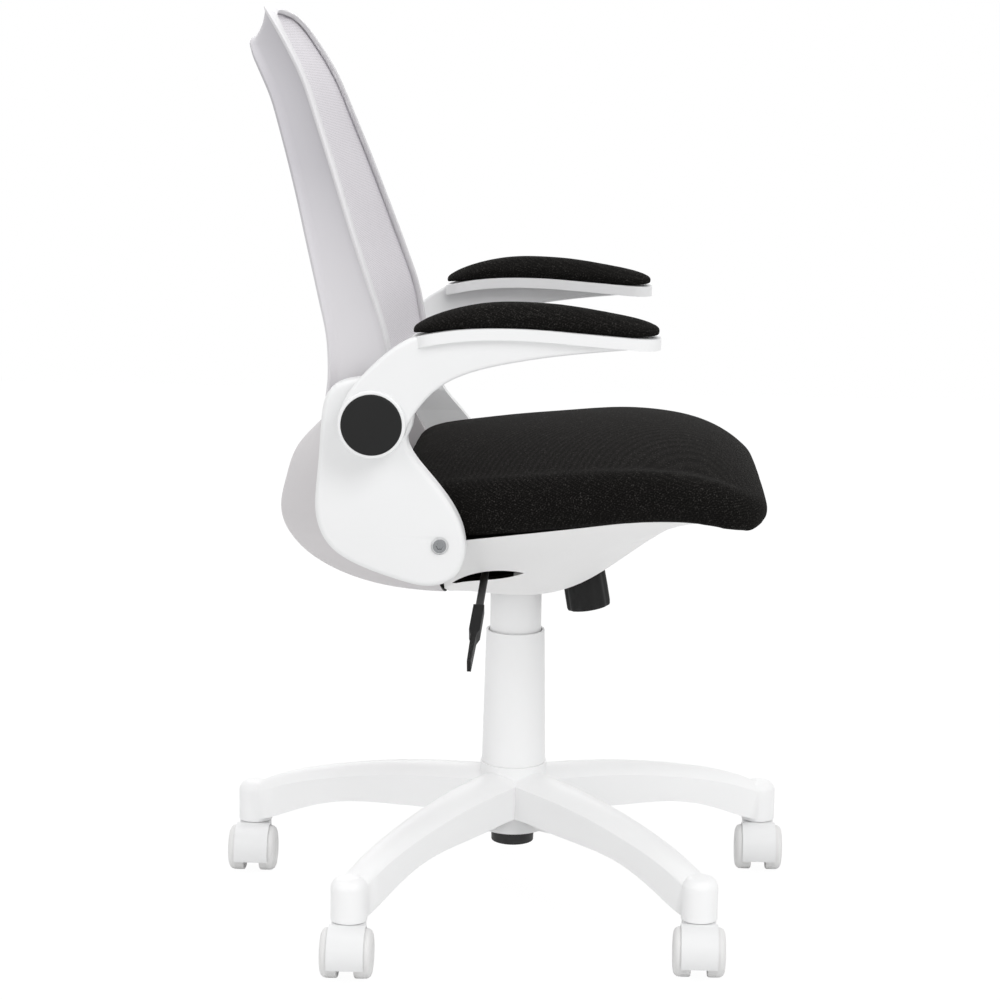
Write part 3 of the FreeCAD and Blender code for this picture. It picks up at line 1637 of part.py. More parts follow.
def arm_solid():
    face = arm_hub_face()
    axis_y = n.arm_pivot_y
    axis_z = n.arm_pivot_height
    hub = Part.makeCylinder(n.arm_hub_radius, n.arm_hub_width, vec(face, axis_y, axis_z), vec(1, 0, 0))
    rim = [edge for edge in hub.Edges if edge.BoundBox.XLength < 0.01]
    hub = hub.makeFillet(0.4 * n.bracket_edge, rim)
    arm = hub.fuse([arm_web_solid(), arm_plate_solid()]).removeSplitter()
    recess = Part.makeCylinder(
        n.cap_radius + n.running_fit,
        2 * n.cap_thickness,
        vec(face - n.cap_thickness, axis_y, axis_z),
        vec(1, 0, 0),
    )
    well = Part.makeCylinder(
        n.arm_bolt_head + n.arm_bolt_room, 3 * n.cap_thickness, vec(face, axis_y, axis_z), vec(1, 0, 0)
    )
    return arm.cut([recess, well, arm_bolt_bore(n.arm_bolt_radius + n.running_fit)])


def cap_solid():
    """Black disc with a rounded edge that closes the pivot."""
    face = arm_hub_face() - 0.3 * n.cap_thickness
    start = vec(face, n.arm_pivot_y, n.arm_pivot_height)
    disc = Part.makeCylinder(n.cap_radius, 1.2 * n.cap_thickness, start, vec(1, 0, 0))
    rim = [edge for edge in disc.Edges if edge.BoundBox.XMax < face + 0.01]
    return disc.makeFillet(0.4 * n.cap_thickness, rim)


def pad_section(y, half, floor, height):
    """Flat underside, sides that swell, crowned top."""
    x = -n.pad_centre
    rim = floor + 0.5 * height
    low = half - 0.12 * height
    shoulder = half - 0.3 * height
    edges = [
        line(vec(x + low, y, floor), vec(x - low, y, floor)),
        arc(vec(x - low, y, floor), vec(x - half, y, floor + 0.25 * height), vec(x - shoulder, y, rim)),
        arc(vec(x - shoulder, y, rim), vec(x, y, floor + height), vec(x + shoulder, y, rim)),
        arc(vec(x + shoulder, y, rim), vec(x + half, y, floor + 0.25 * height), vec(x + low, y, floor)),
    ]
    return Part.Wire(edges)


def arm_top_at(y):
    curve = Part.BSplineCurve()
    curve.interpolate([vec(0, a, b) for a, b in arm_top_curve(0)])
    crossing = curve.toShape().distToShape(line(vec(0, y, 0), vec(0, y, 2 * n.arm_top)))
    return crossing[1][0][0].z


def pad_solid():
    stations = (
        # share from front to rear, share of the half width, share of the height
        (0.000, 0.45, 0.32), (0.030, 0.70, 0.50), (0.110, 0.92, 0.72), (0.300, 1.00, 0.93),
        (0.520, 1.00, 1.00), (0.720, 1.00, 0.92), (0.880, 0.90, 0.68), (0.970, 0.68, 0.45),
        (1.000, 0.45, 0.30),
    )
    wires = []
    start = -n.arm_front + 1
    length = n.arm_front + n.arm_rear - 2
    for along, width, height in stations:
        y = start + along * length
        floor = arm_top_at(y) + 2 * n.seat_gap
        wires.append(pad_section(y, n.pad_half_width * width, floor, n.pad_crown * height))
    return loft(wires)


def make_arm_bolts():
    """Pivot bolts of both arms, each with its head in the hub under the cap."""
    face = arm_hub_face()
    axis_y = n.arm_pivot_y
    axis_z = n.arm_pivot_height
    head_face = face + n.cap_thickness + n.seat_gap
    seat = face + 3 * n.cap_thickness
    end = -n.bracket_inner + n.arm_bolt_grip
    shank = rod_along(vec(seat, axis_y, axis_z), vec(end, axis_y, axis_z), n.arm_bolt_radius)
    head = rod_along(vec(head_face, axis_y, axis_z), vec(seat, axis_y, axis_z), n.arm_bolt_head)
    bolt = shank.fuse(head).removeSplitter()
    free_form("arm_pivot_bolts", Part.makeCompound([bolt, mirrored(bolt)]))


def make_all():
    make_casters()
    make_base()
    make_lift()
    make_chassis()
    make_seat_plate()
    make_tilt_shaft()
    make_tension()
    make_lever()
    make_board()
    make_screws()
    make_cushion()
    make_shell()
    make_carrier()
    make_frame()
    make_mesh()
    both_sides("side_bracket", bracket_solid)
    make_bracket_bolts()
    both_sides("armrest", arm_solid)
    both_sides("arm_pad", pad_solid)
    both_sides("arm_cap", cap_solid)
    make_arm_bolts()


def check_and_write():
    doc.recompute()
    faults = [item.Label for item in doc.Objects if "Invalid" in item.State or "Error" in item.State]
    for item in sub_parts:
        shape = item.Shape
        if shape.isNull() or not shape.isValid() or not shape.Solids:
            faults.append(item.Label)
    if faults:
        raise RuntimeError("failed pieces: " + ", ".join(faults))
    os.makedirs("parts", exist_ok=True)
    for item in sub_parts:
        item.Shape.exportStep(f"parts/{item.Label}.step")
    print(len(sub_parts), "sub-parts written")


make_all()
check_and_write()
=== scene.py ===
import json
import math

import bmesh
import bpy
from mathutils import Matrix, Vector


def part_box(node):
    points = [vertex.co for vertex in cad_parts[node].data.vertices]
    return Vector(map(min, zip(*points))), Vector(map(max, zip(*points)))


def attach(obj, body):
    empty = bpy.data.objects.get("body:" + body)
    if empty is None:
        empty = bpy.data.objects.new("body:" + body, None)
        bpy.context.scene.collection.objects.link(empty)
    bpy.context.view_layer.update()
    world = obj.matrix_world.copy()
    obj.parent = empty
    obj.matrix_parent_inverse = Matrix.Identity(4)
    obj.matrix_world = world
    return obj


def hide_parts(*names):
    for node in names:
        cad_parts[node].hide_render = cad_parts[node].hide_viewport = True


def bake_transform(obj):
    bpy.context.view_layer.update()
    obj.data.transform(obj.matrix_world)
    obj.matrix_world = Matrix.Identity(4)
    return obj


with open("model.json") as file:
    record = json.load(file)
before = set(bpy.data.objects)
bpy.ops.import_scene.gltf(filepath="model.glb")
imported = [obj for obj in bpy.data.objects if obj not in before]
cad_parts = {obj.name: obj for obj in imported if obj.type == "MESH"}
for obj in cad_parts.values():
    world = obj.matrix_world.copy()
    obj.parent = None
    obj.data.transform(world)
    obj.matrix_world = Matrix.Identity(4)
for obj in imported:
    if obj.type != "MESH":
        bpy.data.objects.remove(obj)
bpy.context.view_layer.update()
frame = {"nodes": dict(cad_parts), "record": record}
nodes = frame["nodes"]
scene = bpy.context.scene

# sockets of the Mix node when it mixes colours
MIX_FACTOR = 0
MIX_FIRST = 6
MIX_SECOND = 7
MIX_RESULT = 2


class Value:
    """A shader socket that takes part in Python arithmetic."""

    def __init__(self, shader, socket):
        self.shader = shader
        self.socket = socket

    def math(self, operation, first, second=None):
        return self.shader.node("ShaderNodeMath", {"operation": operation}, [first, second])

    def __add__(self, other):
        return self.math("ADD", self, other)

    def __radd__(self, other):
        return self.math("ADD", other, self)

    def __sub__(self, other):
        return self.math("SUBTRACT", self, other)

    def __rsub__(self, other):
        return self.math("SUBTRACT", other, self)

    def __mul__(self, other):
        return self.math("MULTIPLY", self, other)

    def __rmul__(self, other):
        return self.math("MULTIPLY", other, self)

    def __truediv__(self, other):
        return self.math("DIVIDE", self, other)

    def __rtruediv__(self, other):
        return self.math("DIVIDE", other, self)

    def larger(self, other):
        return self.math("MAXIMUM", self, other)

    def floor(self):
        return self.math("FLOOR", self)

    def fraction(self):
        return self.math("FRACT", self)


class Shader:
    """The nodes of a material or of the world, added one call at a time."""

    def __init__(self, owner, surface="Principled BSDF"):
        owner.use_nodes = True
        self.owner = owner
        self.tree = owner.node_tree
        self.surface = self.tree.nodes[surface]

    def node(self, kind, settings=None, inputs=(), output=0):
        made = self.tree.nodes.new(kind)
        for name, value in (settings or {}).items():
            setattr(made, name, value)
        pairs = inputs.items() if isinstance(inputs, dict) else enumerate(inputs)
        for key, value in pairs:
            self.feed(made.inputs[key], value)
        return Value(self, made.outputs[output])

    def feed(self, socket, value):
        if isinstance(value, Value):
            self.tree.links.new(value.socket, socket)
        elif value is not None:
            socket.default_value = value

    def set(self, **inputs):
        for name, value in inputs.items():
            self.feed(self.surface.inputs[name.replace("_", " ")], value)

    def place(self):
        return self.node("ShaderNodeTexCoord", output="Object")

    def scaled(self, factors):
        place = self.place()
        return self.node("ShaderNodeVectorMath", {"operation": "MULTIPLY"}, [place, factors])

    def parts_of(self, vector):
        split = self.node("ShaderNodeSeparateXYZ", None, [vector])
        return [Value(self, output) for output in split.socket.node.outputs]

    def noise(self, vector, scale, detail=2.0):
        inputs = {"Vector": vector, "Scale": scale, "Detail": detail}
        return self.node("ShaderNodeTexNoise", None, inputs)

    def mix(self, factor, first, second):
        inputs = {MIX_FACTOR: factor, MIX_FIRST: first, MIX_SECOND: second}
        return self.node("ShaderNodeMix", {"data_type": "RGBA"}, inputs, MIX_RESULT)

    def rise(self, value, start, end):
        """Goes from 0 to 1 while the value goes from start to end."""
        inputs = {"Value": value, "From Min": start, "From Max": end}
        return self.node("ShaderNodeMapRange", None, inputs)

    def ray(self, kind):
        return self.node("ShaderNodeLightPath", output=kind)

    def bump(self, height, strength, distance):
        inputs = {"Strength": strength, "Distance": distance, "Height": height}
        return self.node("ShaderNodeBump", None, inputs)


def new_material(name):
    return Shader(bpy.data.materials.new(name))


def grey(level, warm=0.0):
    return (level * (1 + warm), level, level * (1 - warm), 1.0)


GRAIN_GLOSS = 0.12
GRAIN_RELIEF = 0.12
GRAIN_DEPTH = 0.0002
TONE_SCALE = 9.0
# heights between which painted shade darkens a moulding towards its upper tone
SHADE_FADE_LOW = 0.60
SHADE_FADE_HIGH = 0.80


def moulded_plastic(name, colour, shade, roughness, grain_size, shaded_top=None, shine=0.45):
    """Moulded plastic: a fine grain, a slightly uneven tone, and, if given, painted shade that fades
    it to a darker upper tone with height.
    """
    shader = new_material(name)
    place = shader.place()
    grain = shader.noise(place, 1.0 / grain_size)
    tone = shader.mix(shader.noise(place, TONE_SCALE), colour, shade)
    if shaded_top:
        height = shader.parts_of(place)[2]
        tone = shader.mix(shader.rise(height, SHADE_FADE_LOW, SHADE_FADE_HIGH), tone, shaded_top)
    shader.set(
        Base_Color=tone,
        Roughness=grain * GRAIN_GLOSS + (roughness - GRAIN_GLOSS / 2),
        Normal=shader.bump(grain, GRAIN_RELIEF, GRAIN_DEPTH),
        Specular_IOR_Level=shine,
    )
    return shader.owner


YARN_SCALE = 170.0
WEFT_TURN = (0.4, 1.1, 1.57)
FLECK_SCALE = 620.0
FLECK_START = 0.56
FLECK_END = 0.72
PATCH_SCALE = 30.0
CLOTH_RELIEF = 0.55
CLOTH_DEPTH = 0.0007


def yarns(shader, vector):
    """Slightly wavy bands, one for each yarn of a cloth."""
    settings = {"bands_direction": "DIAGONAL", "wave_profile": "SIN"}
    wave = {"Scale": YARN_SCALE, "Distortion": 1.2, "Detail": 1.0, "Detail Scale": 3.0}
    return shader.node("ShaderNodeTexWave", settings, {"Vector": vector, **wave})


def woven_fabric(name):
    """Black upholstery cloth: crossing yarns with paler flecks."""
    shader = new_material(name)
    place = shader.place()
    turned = shader.node("ShaderNodeMapping", None, {"Vector": place, "Rotation": WEFT_TURN})
    weave = yarns(shader, place) * yarns(shader, turned)
    fleck = shader.noise(place, FLECK_SCALE, detail=3.0)
    patches = shader.noise(place, PATCH_SCALE, detail=3.0)
    fleck_mask = shader.rise(fleck, FLECK_START, FLECK_END)
    cloth = shader.mix(weave, grey(0.0035, 0.08), grey(0.010, 0.08))
    flecked = shader.mix(fleck_mask * (patches * 0.9 + 0.15), cloth, grey(0.055, 0.06))
    shader.set(
        Base_Color=flecked,
        Roughness=0.95,
        Sheen_Weight=0.01,
        Sheen_Roughness=0.45,
        Sheen_Tint=(0.9, 0.86, 0.82, 1.0),
        Specular_IOR_Level=0.06,
        Normal=shader.bump(weave * 0.6 + fleck * 0.5, CLOTH_RELIEF, CLOTH_DEPTH),
    )
    return shader.owner


EYELET_PITCH = 0.002
EYELET_ROW = 0.82 * EYELET_PITCH
EYELET_SQUASH = 1.2
EYELET_INNER = 0.055
EYELET_OUTER = 0.085
EYELET_ALPHA = 0.6
MESH_TONE_SCALE = 14.0
MESH_RELIEF = 0.12
MESH_DEPTH = 0.0006


def open_mesh(name):
    """Knitted back fabric: rows of small eyelets between pale lilac yarns."""
    shader = new_material(name)
    across, _, up = shader.parts_of(shader.place())
    row = up / EYELET_ROW
    column = across / EYELET_PITCH + row.floor() * 0.5
    cell_x = column.fraction() - 0.5
    cell_y = row.fraction() - 0.5
    reach = cell_x * cell_x + cell_y * cell_y * EYELET_SQUASH
    yarn = shader.rise(reach, EYELET_INNER, EYELET_OUTER)
    drift = shader.noise(shader.place(), MESH_TONE_SCALE)
    shader.set(
        Base_Color=shader.mix(drift, (0.66, 0.635, 0.67, 1.0), (0.72, 0.695, 0.73, 1.0)),
        Roughness=0.75,
        Sheen_Weight=0.15,
        Alpha=yarn * (1.0 - EYELET_ALPHA) + EYELET_ALPHA,
        Normal=shader.bump(reach, MESH_RELIEF, MESH_DEPTH),
    )
    return shader.owner


SCRATCH_STRETCH = (40.0, 900.0, 900.0)
SCRATCH_GLOSS = 0.15
SCRATCH_SHINE = 0.07
SCRATCH_RELIEF = 0.05
SCRATCH_DEPTH = 0.0001


def metal(name, colour, roughness):
    """Bare metal with fine scratches across the chair."""
    shader = new_material(name)
    scratches = shader.noise(shader.scaled(SCRATCH_STRETCH), 1.0, detail=3.0)
    shader.set(
        Base_Color=colour,
        Metallic=1.0,
        Roughness=scratches * SCRATCH_GLOSS + (roughness - SCRATCH_SHINE),
        Normal=shader.bump(scratches, SCRATCH_RELIEF, SCRATCH_DEPTH),
    )
    return shader.owner


PAINT_SCALE = 1400.0
PAINT_RELIEF = 0.25
PAINT_DEPTH = 0.0002


def painted_steel(name):
    """Black powder paint on the steel of the mechanism."""
    shader = new_material(name)
    grain = shader.noise(shader.place(), PAINT_SCALE)
    shader.set(
        Base_Color=grey(0.018),
        Roughness=grain * 0.2 + 0.38,
        Normal=shader.bump(grain, PAINT_RELIEF, PAINT_DEPTH),
    )
    return shader.owner


WOOD_STRETCH = (6.0, 60.0, 60.0)
WOOD_RELIEF = 0.15
WOOD_DEPTH = 0.0004


def plywood(name):
    """The seat board's wood, with its rings drawn out across the chair."""
    shader = new_material(name)
    rings = shader.noise(shader.scaled(WOOD_STRETCH), 1.0, detail=4.0)
    shader.set(
        Base_Color=shader.mix(rings, (0.42, 0.27, 0.14, 1.0), (0.60, 0.43, 0.26, 1.0)),
        Roughness=0.7,
        Normal=shader.bump(rings, WOOD_RELIEF, WOOD_DEPTH),
    )
    return shader.owner


WHITE = moulded_plastic("white_plastic", grey(0.86, -0.004), grey(0.83, -0.004), 0.42, 0.0005)
# the white of the base and covers with painted light: a brighter copy of the white plastic
BASE_WHITE_PAINTED_LIGHT = moulded_plastic("base_plastic_painted_light", grey(0.95, -0.002), grey(0.92, -0.002), 0.42, 0.0005)
# the seat hull's white with painted light that lifts its downward faces: a brighter copy of the white
# plastic
HULL_WHITE_PAINTED_LIGHT = moulded_plastic("hull_plastic_painted_light", grey(0.91, 0.002), grey(0.88, 0.002), 0.46, 0.0006)
WHEEL_WHITE = moulded_plastic("wheel_nylon", grey(0.82, 0.004), grey(0.77, 0.004), 0.5, 0.0008)
# the back frame's white with painted shade: darker than the other whites, and darker still towards
# the top
FRAME_WHITE_PAINTED_SHADE = moulded_plastic(
    "frame_plastic_painted_shade",
    (0.75, 0.735, 0.755, 1.0),
    (0.71, 0.695, 0.715, 1.0),
    roughness=0.5,
    grain_size=0.0006,
    shaded_top=(0.50, 0.488, 0.515, 1.0),
)
# the back frame's bead and flange with painted shade: a darker copy of the white plastic
BEAD_WHITE_PAINTED_SHADE = moulded_plastic(
    "bead_plastic_painted_shade", (0.70, 0.69, 0.705, 1.0), (0.67, 0.66, 0.675, 1.0), 0.5, 0.0006
)
# the back carrier's white with the painted shade of its hollow: a darker copy of the white plastic
CARRIER_WHITE_PAINTED_SHADE = moulded_plastic(
    "carrier_plastic_painted_shade", (0.63, 0.61, 0.62, 1.0), (0.60, 0.58, 0.59, 1.0), 0.5, 0.0006
)
BLACK = moulded_plastic(
    "black_plastic", grey(0.005, -0.02), grey(0.006, -0.02), 0.55, 0.0007, shine=0.3
)
CLOTH = woven_fabric("black_cloth")
MESH = open_mesh("mesh_cloth")
STEEL = metal("zinc_steel", grey(0.55), 0.35)
BOLT_ZINC = metal("bolt_zinc", grey(0.32, -0.03), 0.24)
DARK_STEEL = painted_steel("black_paint")
PLY = plywood("plywood")

SLOT_MATERIALS = {
    "white_plastic": WHITE,
    "black_plastic": BLACK,
    "black_steel": DARK_STEEL,
    "steel": STEEL,
    "bright_steel": BOLT_ZINC,
    "plywood": PLY,
}
# brighter and darker copies of the white plastic, with painted light and painted shade, for the nodes
# that take them
NODE_MATERIALS = {
    "star_base": BASE_WHITE_PAINTED_LIGHT,
    "cover_lower": BASE_WHITE_PAINTED_LIGHT,
    "cover_upper": BASE_WHITE_PAINTED_LIGHT,
    "seat_shell": HULL_WHITE_PAINTED_LIGHT,
    "back_carrier": CARRIER_WHITE_PAINTED_SHADE,
}

node_slots = {part["node"]: part["material_slot"] for part in frame["record"]["subparts"]}
node_bodies = {}
for body, members in frame["record"]["behaviour"]["bodies"].items():
    for member in members:
        node_bodies[member] = body

WELD = 0.00002
AXIS_WELD = 0.000005
FLAT_ANGLE = 1.0
EDGE_ANGLE = 35
EDGE_WIDTH = 0.0006
EDGE_WIDTHS = {"side_bracket_right": 0.0022, "side_bracket_left": 0.0022}
CREASE_ANGLE = 32
CREASE_ANGLES = {"seat_shell": 12, "back_carrier": 12}
ACROSS = Vector((1.0, 0.0, 0.0))
FULL_TURN = 2 * math.pi
# place of a piece's second material among its materials
SECOND = 1


def loose_piece(name, shape, material, node):
    """Makes an object of a bmesh, which stands for a CAD node."""
    mesh = bpy.data.meshes.new(name)
    shape.to_mesh(mesh)
    shape.free()
    mesh.materials.append(material)
    piece = bpy.data.objects.new(name, mesh)
    scene.collection.objects.link(piece)
    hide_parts(node)
    return piece


def new_piece(name, shape, material, node):
    """A piece that moves with its node's body."""
    piece = loose_piece(name, shape, material, node)
    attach(piece, node_bodies[node])
    return piece


def give_second(piece, material, chosen):
    """Gives a piece a second material on the faces that are chosen."""
    piece.data.materials.append(material)
    for face in piece.data.polygons:
        if chosen(face):
            face.material_index = SECOND


def solid_of(node):
    """The node's own shape with its loose triangles joined."""
    shape = bmesh.new()
    shape.from_mesh(nodes[node].data)
    bmesh.ops.remove_doubles(shape, verts=shape.verts, dist=WELD)
    return shape


def shade_smooth(piece, angle):
    piece.data.shade_smooth()
    piece.data.set_sharp_from_angle(angle=math.radians(angle))


def soften_edges(piece, width):
    """Rounds the sharp edges of a moulded piece a little."""
    bevel = piece.modifiers.new("edge", "BEVEL")
    bevel.width = width
    bevel.segments = 2
    bevel.limit_method = "ANGLE"
    bevel.angle_limit = math.radians(EDGE_ANGLE)
    bevel.harden_normals = True


def moulded_copy(node, material):
    """A smooth copy of a rigid node, with its edges rounded as a mould leaves them."""
    shape = solid_of(node)
    bmesh.ops.dissolve_limit(
        shape, angle_limit=math.radians(FLAT_ANGLE), verts=shape.verts, edges=shape.edges
    )
    piece = new_piece(f"{node}_moulding", shape, material, node)
    shade_smooth(piece, CREASE_ANGLES.get(node, CREASE_ANGLE))
    soften_edges(piece, EDGE_WIDTHS.get(node, EDGE_WIDTH))
    return piece


def skin(shape, rings):
    """Bridges closed rings of points, one after the other, into a tube with flat ends."""
    loops = []
    loop_edges = []
    for points in rings:
        verts = [shape.verts.new(point) for point in points]
        loops.append(verts)
        loop_edges.append([shape.edges.new(pair) for pair in zip(verts, verts[1:] + verts[:1])])
    for near, far in zip(loop_edges, loop_edges[1:]):
        bmesh.ops.bridge_loops(shape, edges=near + far)
    for edges in (loop_edges[0], loop_edges[-1]):
        bmesh.ops.edgeloop_fill(shape, edges=edges)
    bmesh.ops.recalc_face_normals(shape, faces=shape.faces)
    return loops


def smooth_run(points, steps):
    """Points of a smooth curve through the given ones."""
    ends = [points[0] * 2 - points[1]] + list(points) + [points[-1] * 2 - points[-2]]
    run = []
    for index in range(1, len(ends) - 2):
        before, start, end, after = ends[index - 1 : index + 3]
        for step in range(steps):
            share = step / steps
            pull = (end - before) * share + (before * 2 - start * 5 + end * 4 - after) * share**2
            pull += (start * 3 - before - end * 3 + after) * share**3
            run.append(start + pull * 0.5)
    run.append(points[-1])
    return run


RIM_FOOT = 0.557
RIM_TOP = 0.957
RIM_SIDE = (
    # half width, distance behind the column, height, from foot to top
    (0.221, 0.112, RIM_FOOT),
    (0.225, 0.115, RIM_FOOT + 0.042),
    (0.227, 0.124, RIM_FOOT + 0.088),
    (0.223, 0.140, RIM_TOP - 0.265),
    (0.211, 0.158, RIM_TOP - 0.215),
    (0.193, 0.1755, RIM_TOP - 0.166),
    (0.173, 0.1935, RIM_TOP - 0.118),
    (0.156, 0.210, RIM_TOP - 0.076),
    (0.141, 0.227, RIM_TOP - 0.045),
    (0.120, 0.244, RIM_TOP - 0.020),
    (0.088, 0.257, RIM_TOP - 0.006),
    (0.044, 0.263, RIM_TOP - 0.0015),
    (0.0, 0.265, RIM_TOP),
)
RIM_STEPS = 6
# degrees that the rim leans back at its foot, gains evenly, and gains near its top
LEAN_FOOT = 7.0
LEAN_GAIN = 22.0
LEAN_CURL = 26.0
CURL_POWER = 12
# depth of the side at its foot, and how it falls and levels out upward
DEPTH_FOOT = 0.072
DEPTH_FALL = 0.068
DEPTH_LEVEL = 0.034
# share of height in the test of which way is outward
OUTWARD_UP = 0.2
RIM_FLANGE = 0.014
RIM_FLANGE_DEPTH = 0.0045
RIM_WALL = 0.0045
RIM_WALL_STEPS = 8
RIM_INSET = 0.22
RIM_BEAD = 0.0025
RIM_HOLLOW = 0.002
RIM_EDGE = 0.0006
# points at the start and at the end of the rim's section that make its bead and its flange
BEAD_POINTS = 8
FLANGE_POINTS = 5
RIM_CREASE = 45
RAIL_STEPS = 24
RAIL_BOW = 0.018
RAIL_EDGE = 0.002
RAIL_HEIGHT = 2 * RIM_FLANGE
RAIL_OUTLINE = (
    # backward, upward
    (0.0, 0.0),
    (RIM_FLANGE, 0.0),
    (RIM_FLANGE, RAIL_HEIGHT - RAIL_EDGE),
    (RIM_FLANGE - RAIL_EDGE, RAIL_HEIGHT),
    (RAIL_EDGE, RAIL_HEIGHT),
    (0.0, RAIL_HEIGHT - RAIL_EDGE),
)


def rim_outline(depth):
    """Section of the frame as (backward, outward) pairs: bead, hollow wall, rolled rim, flange."""
    inset = RIM_INSET * depth
    groove = RIM_FLANGE_DEPTH + 0.6 * RIM_BEAD
    wall = []
    for step in range(RIM_WALL_STEPS + 1):
        share = step / RIM_WALL_STEPS
        back = groove + share * (depth - 2 * RIM_BEAD - groove)
        out = -RIM_BEAD - share * inset - RIM_HOLLOW * 4 * share * (1 - share)
        wall.append((back, out))
    bead = [
        (0.0, -0.3 * RIM_FLANGE),
        (0.0, -0.0016),
        (0.0006, -0.0005),
        (0.0018, 0.0004),
        (0.5 * RIM_FLANGE_DEPTH, 0.0009),
        (0.8 * RIM_FLANGE_DEPTH, 0.0006),
        (RIM_FLANGE_DEPTH, -0.0004),
        (RIM_FLANGE_DEPTH + 0.3 * RIM_BEAD, -0.7 * RIM_BEAD),
    ]
    roll = [
        (depth - RIM_BEAD, -inset - 0.3 * RIM_BEAD),
        (depth, -inset),
        (depth + 0.6 * RIM_BEAD, -inset - 0.2 * RIM_WALL),
        (depth + RIM_BEAD, -inset - 0.6 * RIM_WALL),
        (depth + 0.6 * RIM_BEAD, -inset - RIM_WALL),
        (depth - RIM_BEAD, -inset - RIM_BEAD - RIM_WALL),
    ]
    lining = [(back, out - RIM_WALL) for back, out in reversed(wall)]
    flange = [
        (RIM_FLANGE_DEPTH, -RIM_BEAD - RIM_WALL),
        (RIM_FLANGE_DEPTH, -RIM_FLANGE + RIM_EDGE),
        (RIM_FLANGE_DEPTH - RIM_EDGE, -RIM_FLANGE),
        (RIM_EDGE, -RIM_FLANGE),
        (0.0, -RIM_FLANGE + RIM_EDGE),
    ]
    return bead + wall + roll + lining + flange


def rim_rings():
    """Sections of the hoop, from one foot over the top to the other."""
    left = [Vector(station) for station in RIM_SIDE]
    right = [Vector((-point.x, point.y, point.z)) for point in reversed(left[:-1])]
    run = smooth_run(left + right, RIM_STEPS)
    rings = []
    for index, point in enumerate(run):
        ahead = (run[min(index + 1, len(run) - 1)] - run[max(index - 1, 0)]).normalized()
        share = (point.z - RIM_FOOT) / (RIM_TOP - RIM_FOOT)
        lean = math.radians(LEAN_FOOT + LEAN_GAIN * share + LEAN_CURL * share**CURL_POWER)
        rear = Vector((0.0, math.cos(lean), -math.sin(lean)))
        rear = (rear - ahead * rear.dot(ahead)).normalized()
        outward = rear.cross(ahead).normalized()
        if outward.dot(Vector((point.x, 0.0, OUTWARD_UP))) < 0:
            outward.negate()
        depth = DEPTH_FOOT - DEPTH_FALL * share + DEPTH_LEVEL * share * share
        rings.append([point + rear * back + outward * out for back, out in rim_outline(depth)])
    return rings


def rail_rings():
    """Sections of the bottom rail, which bows backward between the hoop's feet."""
    half, near, height = RIM_SIDE[0]
    half -= RIM_WALL
    rings = []
    for step in range(RAIL_STEPS + 1):
        across = 2 * step / RAIL_STEPS - 1
        bow = RAIL_BOW * (1 - across * across)
        front = near + RIM_FLANGE_DEPTH - RAIL_EDGE + bow
        low = Vector((half * across, front, height + RIM_EDGE))
        rings.append([low + Vector((0.0, back, up)) for back, up in RAIL_OUTLINE])
    return rings


def make_back_frame():
    """The hoop of the back, with a bead and flange in a white of their own with painted shade, and
    its bottom rail; the rest of the hoop has painted shade that darkens upward.
    """
    shape = bmesh.new()
    loops = skin(shape, rim_rings())
    beaded = {vert for loop in loops for vert in loop[:BEAD_POINTS] + loop[-FLANGE_POINTS:]}
    for face in shape.faces:
        if beaded.issuperset(face.verts):
            face.material_index = SECOND
    skin(shape, rail_rings())
    piece = new_piece("back_hoop", shape, FRAME_WHITE_PAINTED_SHADE, "back_frame")
    piece.data.materials.append(BEAD_WHITE_PAINTED_SHADE)
    shade_smooth(piece, RIM_CREASE)


def lathe(shape, profile, centre, axis, steps):
    """Turns a (radius, offset) profile about an axis through a centre."""
    verts = []
    for radius, offset in profile:
        verts.append(shape.verts.new(centre + ACROSS * radius + axis * offset))
    edges = [shape.edges.new(pair) for pair in zip(verts, verts[1:])]
    bmesh.ops.spin(
        shape,
        geom=verts + edges,
        cent=centre,
        axis=axis,
        angle=FULL_TURN,
        steps=steps,
        use_merge=True,
    )
    bmesh.ops.remove_doubles(shape, verts=shape.verts, dist=AXIS_WELD)
    bmesh.ops.recalc_face_normals(shape, faces=shape.faces)


CASTERS = 5
WHEEL_STEPS = 120
WHEEL_CREASE = 35
# steps of the wheel from one rib to the next
RIB_STEPS = 4
RIB_DEPTH = 0.0007
# how deep below its outermost radius the tread still gets ribs
RIB_REACH = 0.0004
RIB_START = 0.001
# share of the wheel's width where the ribs end
RIB_END = 0.45


